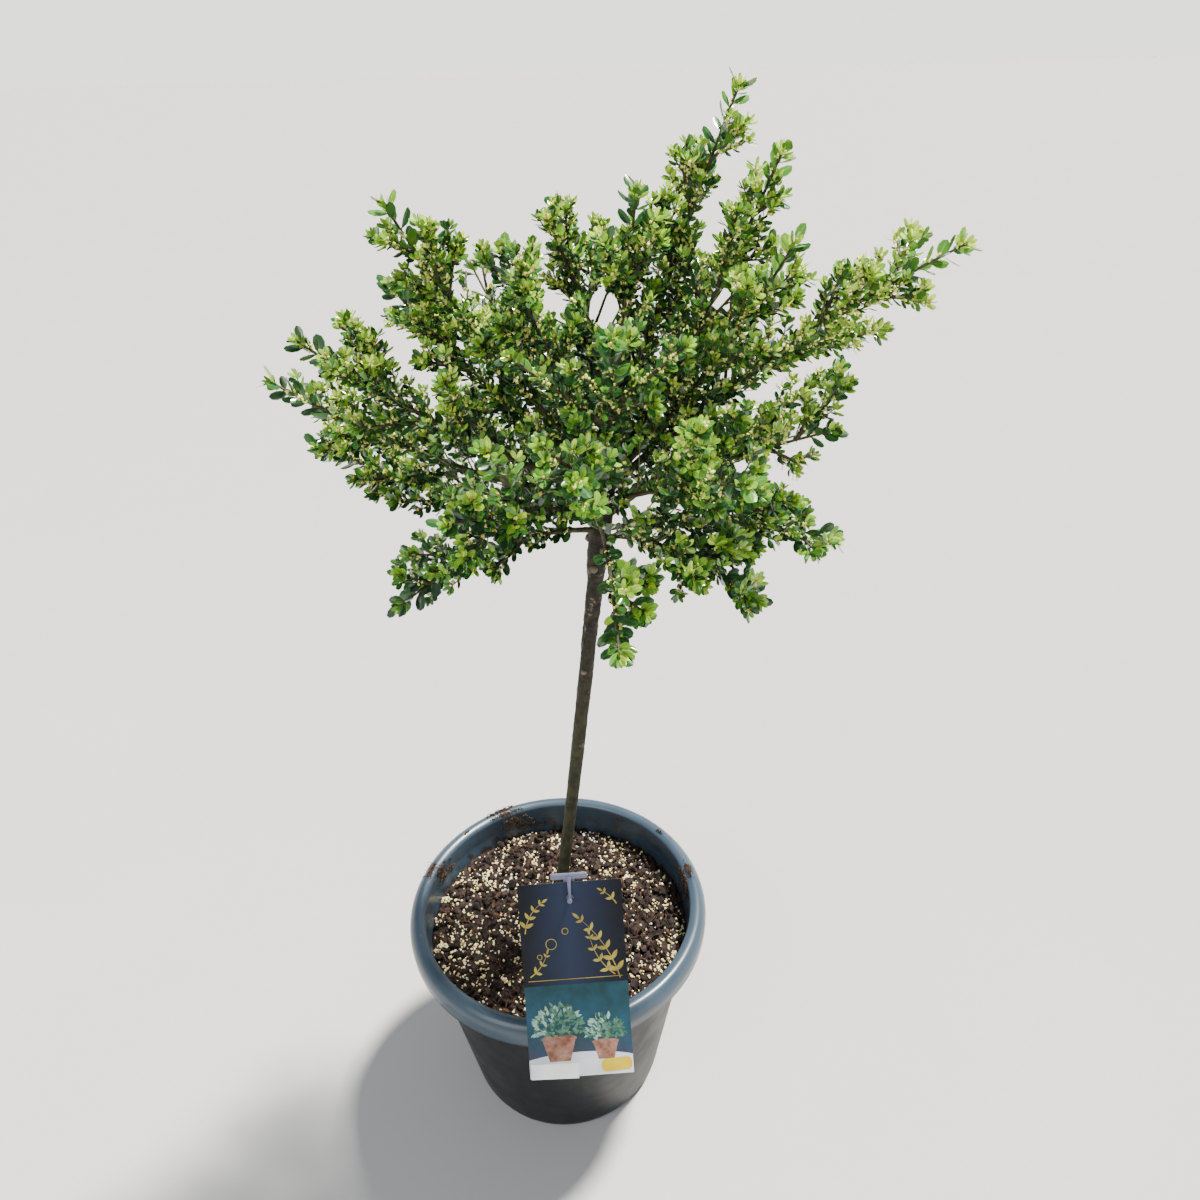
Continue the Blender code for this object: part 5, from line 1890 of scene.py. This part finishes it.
def build_camera():
    data = bpy.data.cameras.new("camera")
    data.lens = CAMERA_LENS
    data.sensor_width = CAMERA_SENSOR
    data.clip_start = 0.01
    camera = bpy.data.objects.new("camera", data)
    bpy.context.scene.collection.objects.link(camera)
    turn = Matrix.Rotation(-CAMERA_YAW, 4, "Z") @ Matrix.Rotation(math.pi / 2 - CAMERA_PITCH, 4, "X")
    camera.matrix_world = Matrix.Translation(CAMERA_PLACE) @ turn @ Matrix.Rotation(CAMERA_ROLL, 4, "Z")
    bpy.context.scene.camera = camera


PICTURE_UPPER = ((0.004, 0.026, 0.022), (0.014, 0.070, 0.120))
PICTURE_LOWER = ((0.085, 0.016, 0.018), (0.036, 0.050, 0.135))
CARD_GROUND = ((0.0018, 0.0026, 0.0056), (0.0034, 0.0050, 0.0100))
CARD_PAINTED_SHEEN = (0.014, 0.023, 0.054)


def picture_finish():
    """Soft out-of-focus background: teal above, blue in the middle, clay red below."""
    finish = Finish("picture_ink", 0.40, Specular_IOR_Level=0.22)
    desk = finish.desk
    upper = finish.mottled(*PICTURE_UPPER, 42.0, 0.25)
    lower = finish.mottled(*PICTURE_LOWER, 36.0, 0.25)
    sinking = desk.between(finish.axis("Z"), 0.216, 0.180)
    finish.set("Base Color", desk.mixed(sinking, upper, lower))
    finish.bumpy(900.0, 0.00001)
    return finish.material


def card_finish():
    """Near-black glossy card with a painted soft blue sheen, a painted reflection, down its middle."""
    finish = Finish("label_card", 0.34, Specular_IOR_Level=0.22)
    desk = finish.desk
    # Painted reflection: a soft blue band down the card's middle
    across = finish.axis("X")
    left = desk.between(across, -0.022, 0.012)
    right = desk.between(across, 0.056, 0.016)
    sheen = desk.times(desk.times(left, right), 0.9)
    ground = finish.mottled(*CARD_GROUND, 40.0)
    finish.set("Base Color", desk.mixed(sheen, ground, CARD_PAINTED_SHEEN))
    finish.varied_roughness(0.34, 0.44, 30.0)
    finish.bumpy(500.0, 0.00002)
    return finish.material


def build_all():
    pot_plastic = pot_finish()
    build_pot(pot_plastic)
    build_lip_ribs(pot_plastic)
    build_soil_surface(plain_finish("soil"))
    build_loose_pieces()
    fibre = plain_finish("peat_fibre")
    build_fibres(fibre)
    build_rim_moss(plain_finish("dried_moss"), fibre)
    build_trunk(bark_finish())
    build_pruning_scars(plain_finish("cut_wood"))
    build_label_card(card_finish())
    build_label_print()
    build_pick(plain_finish("pick_plastic"))
    build_crown()
    build_stage()
    build_camera()


build_all()
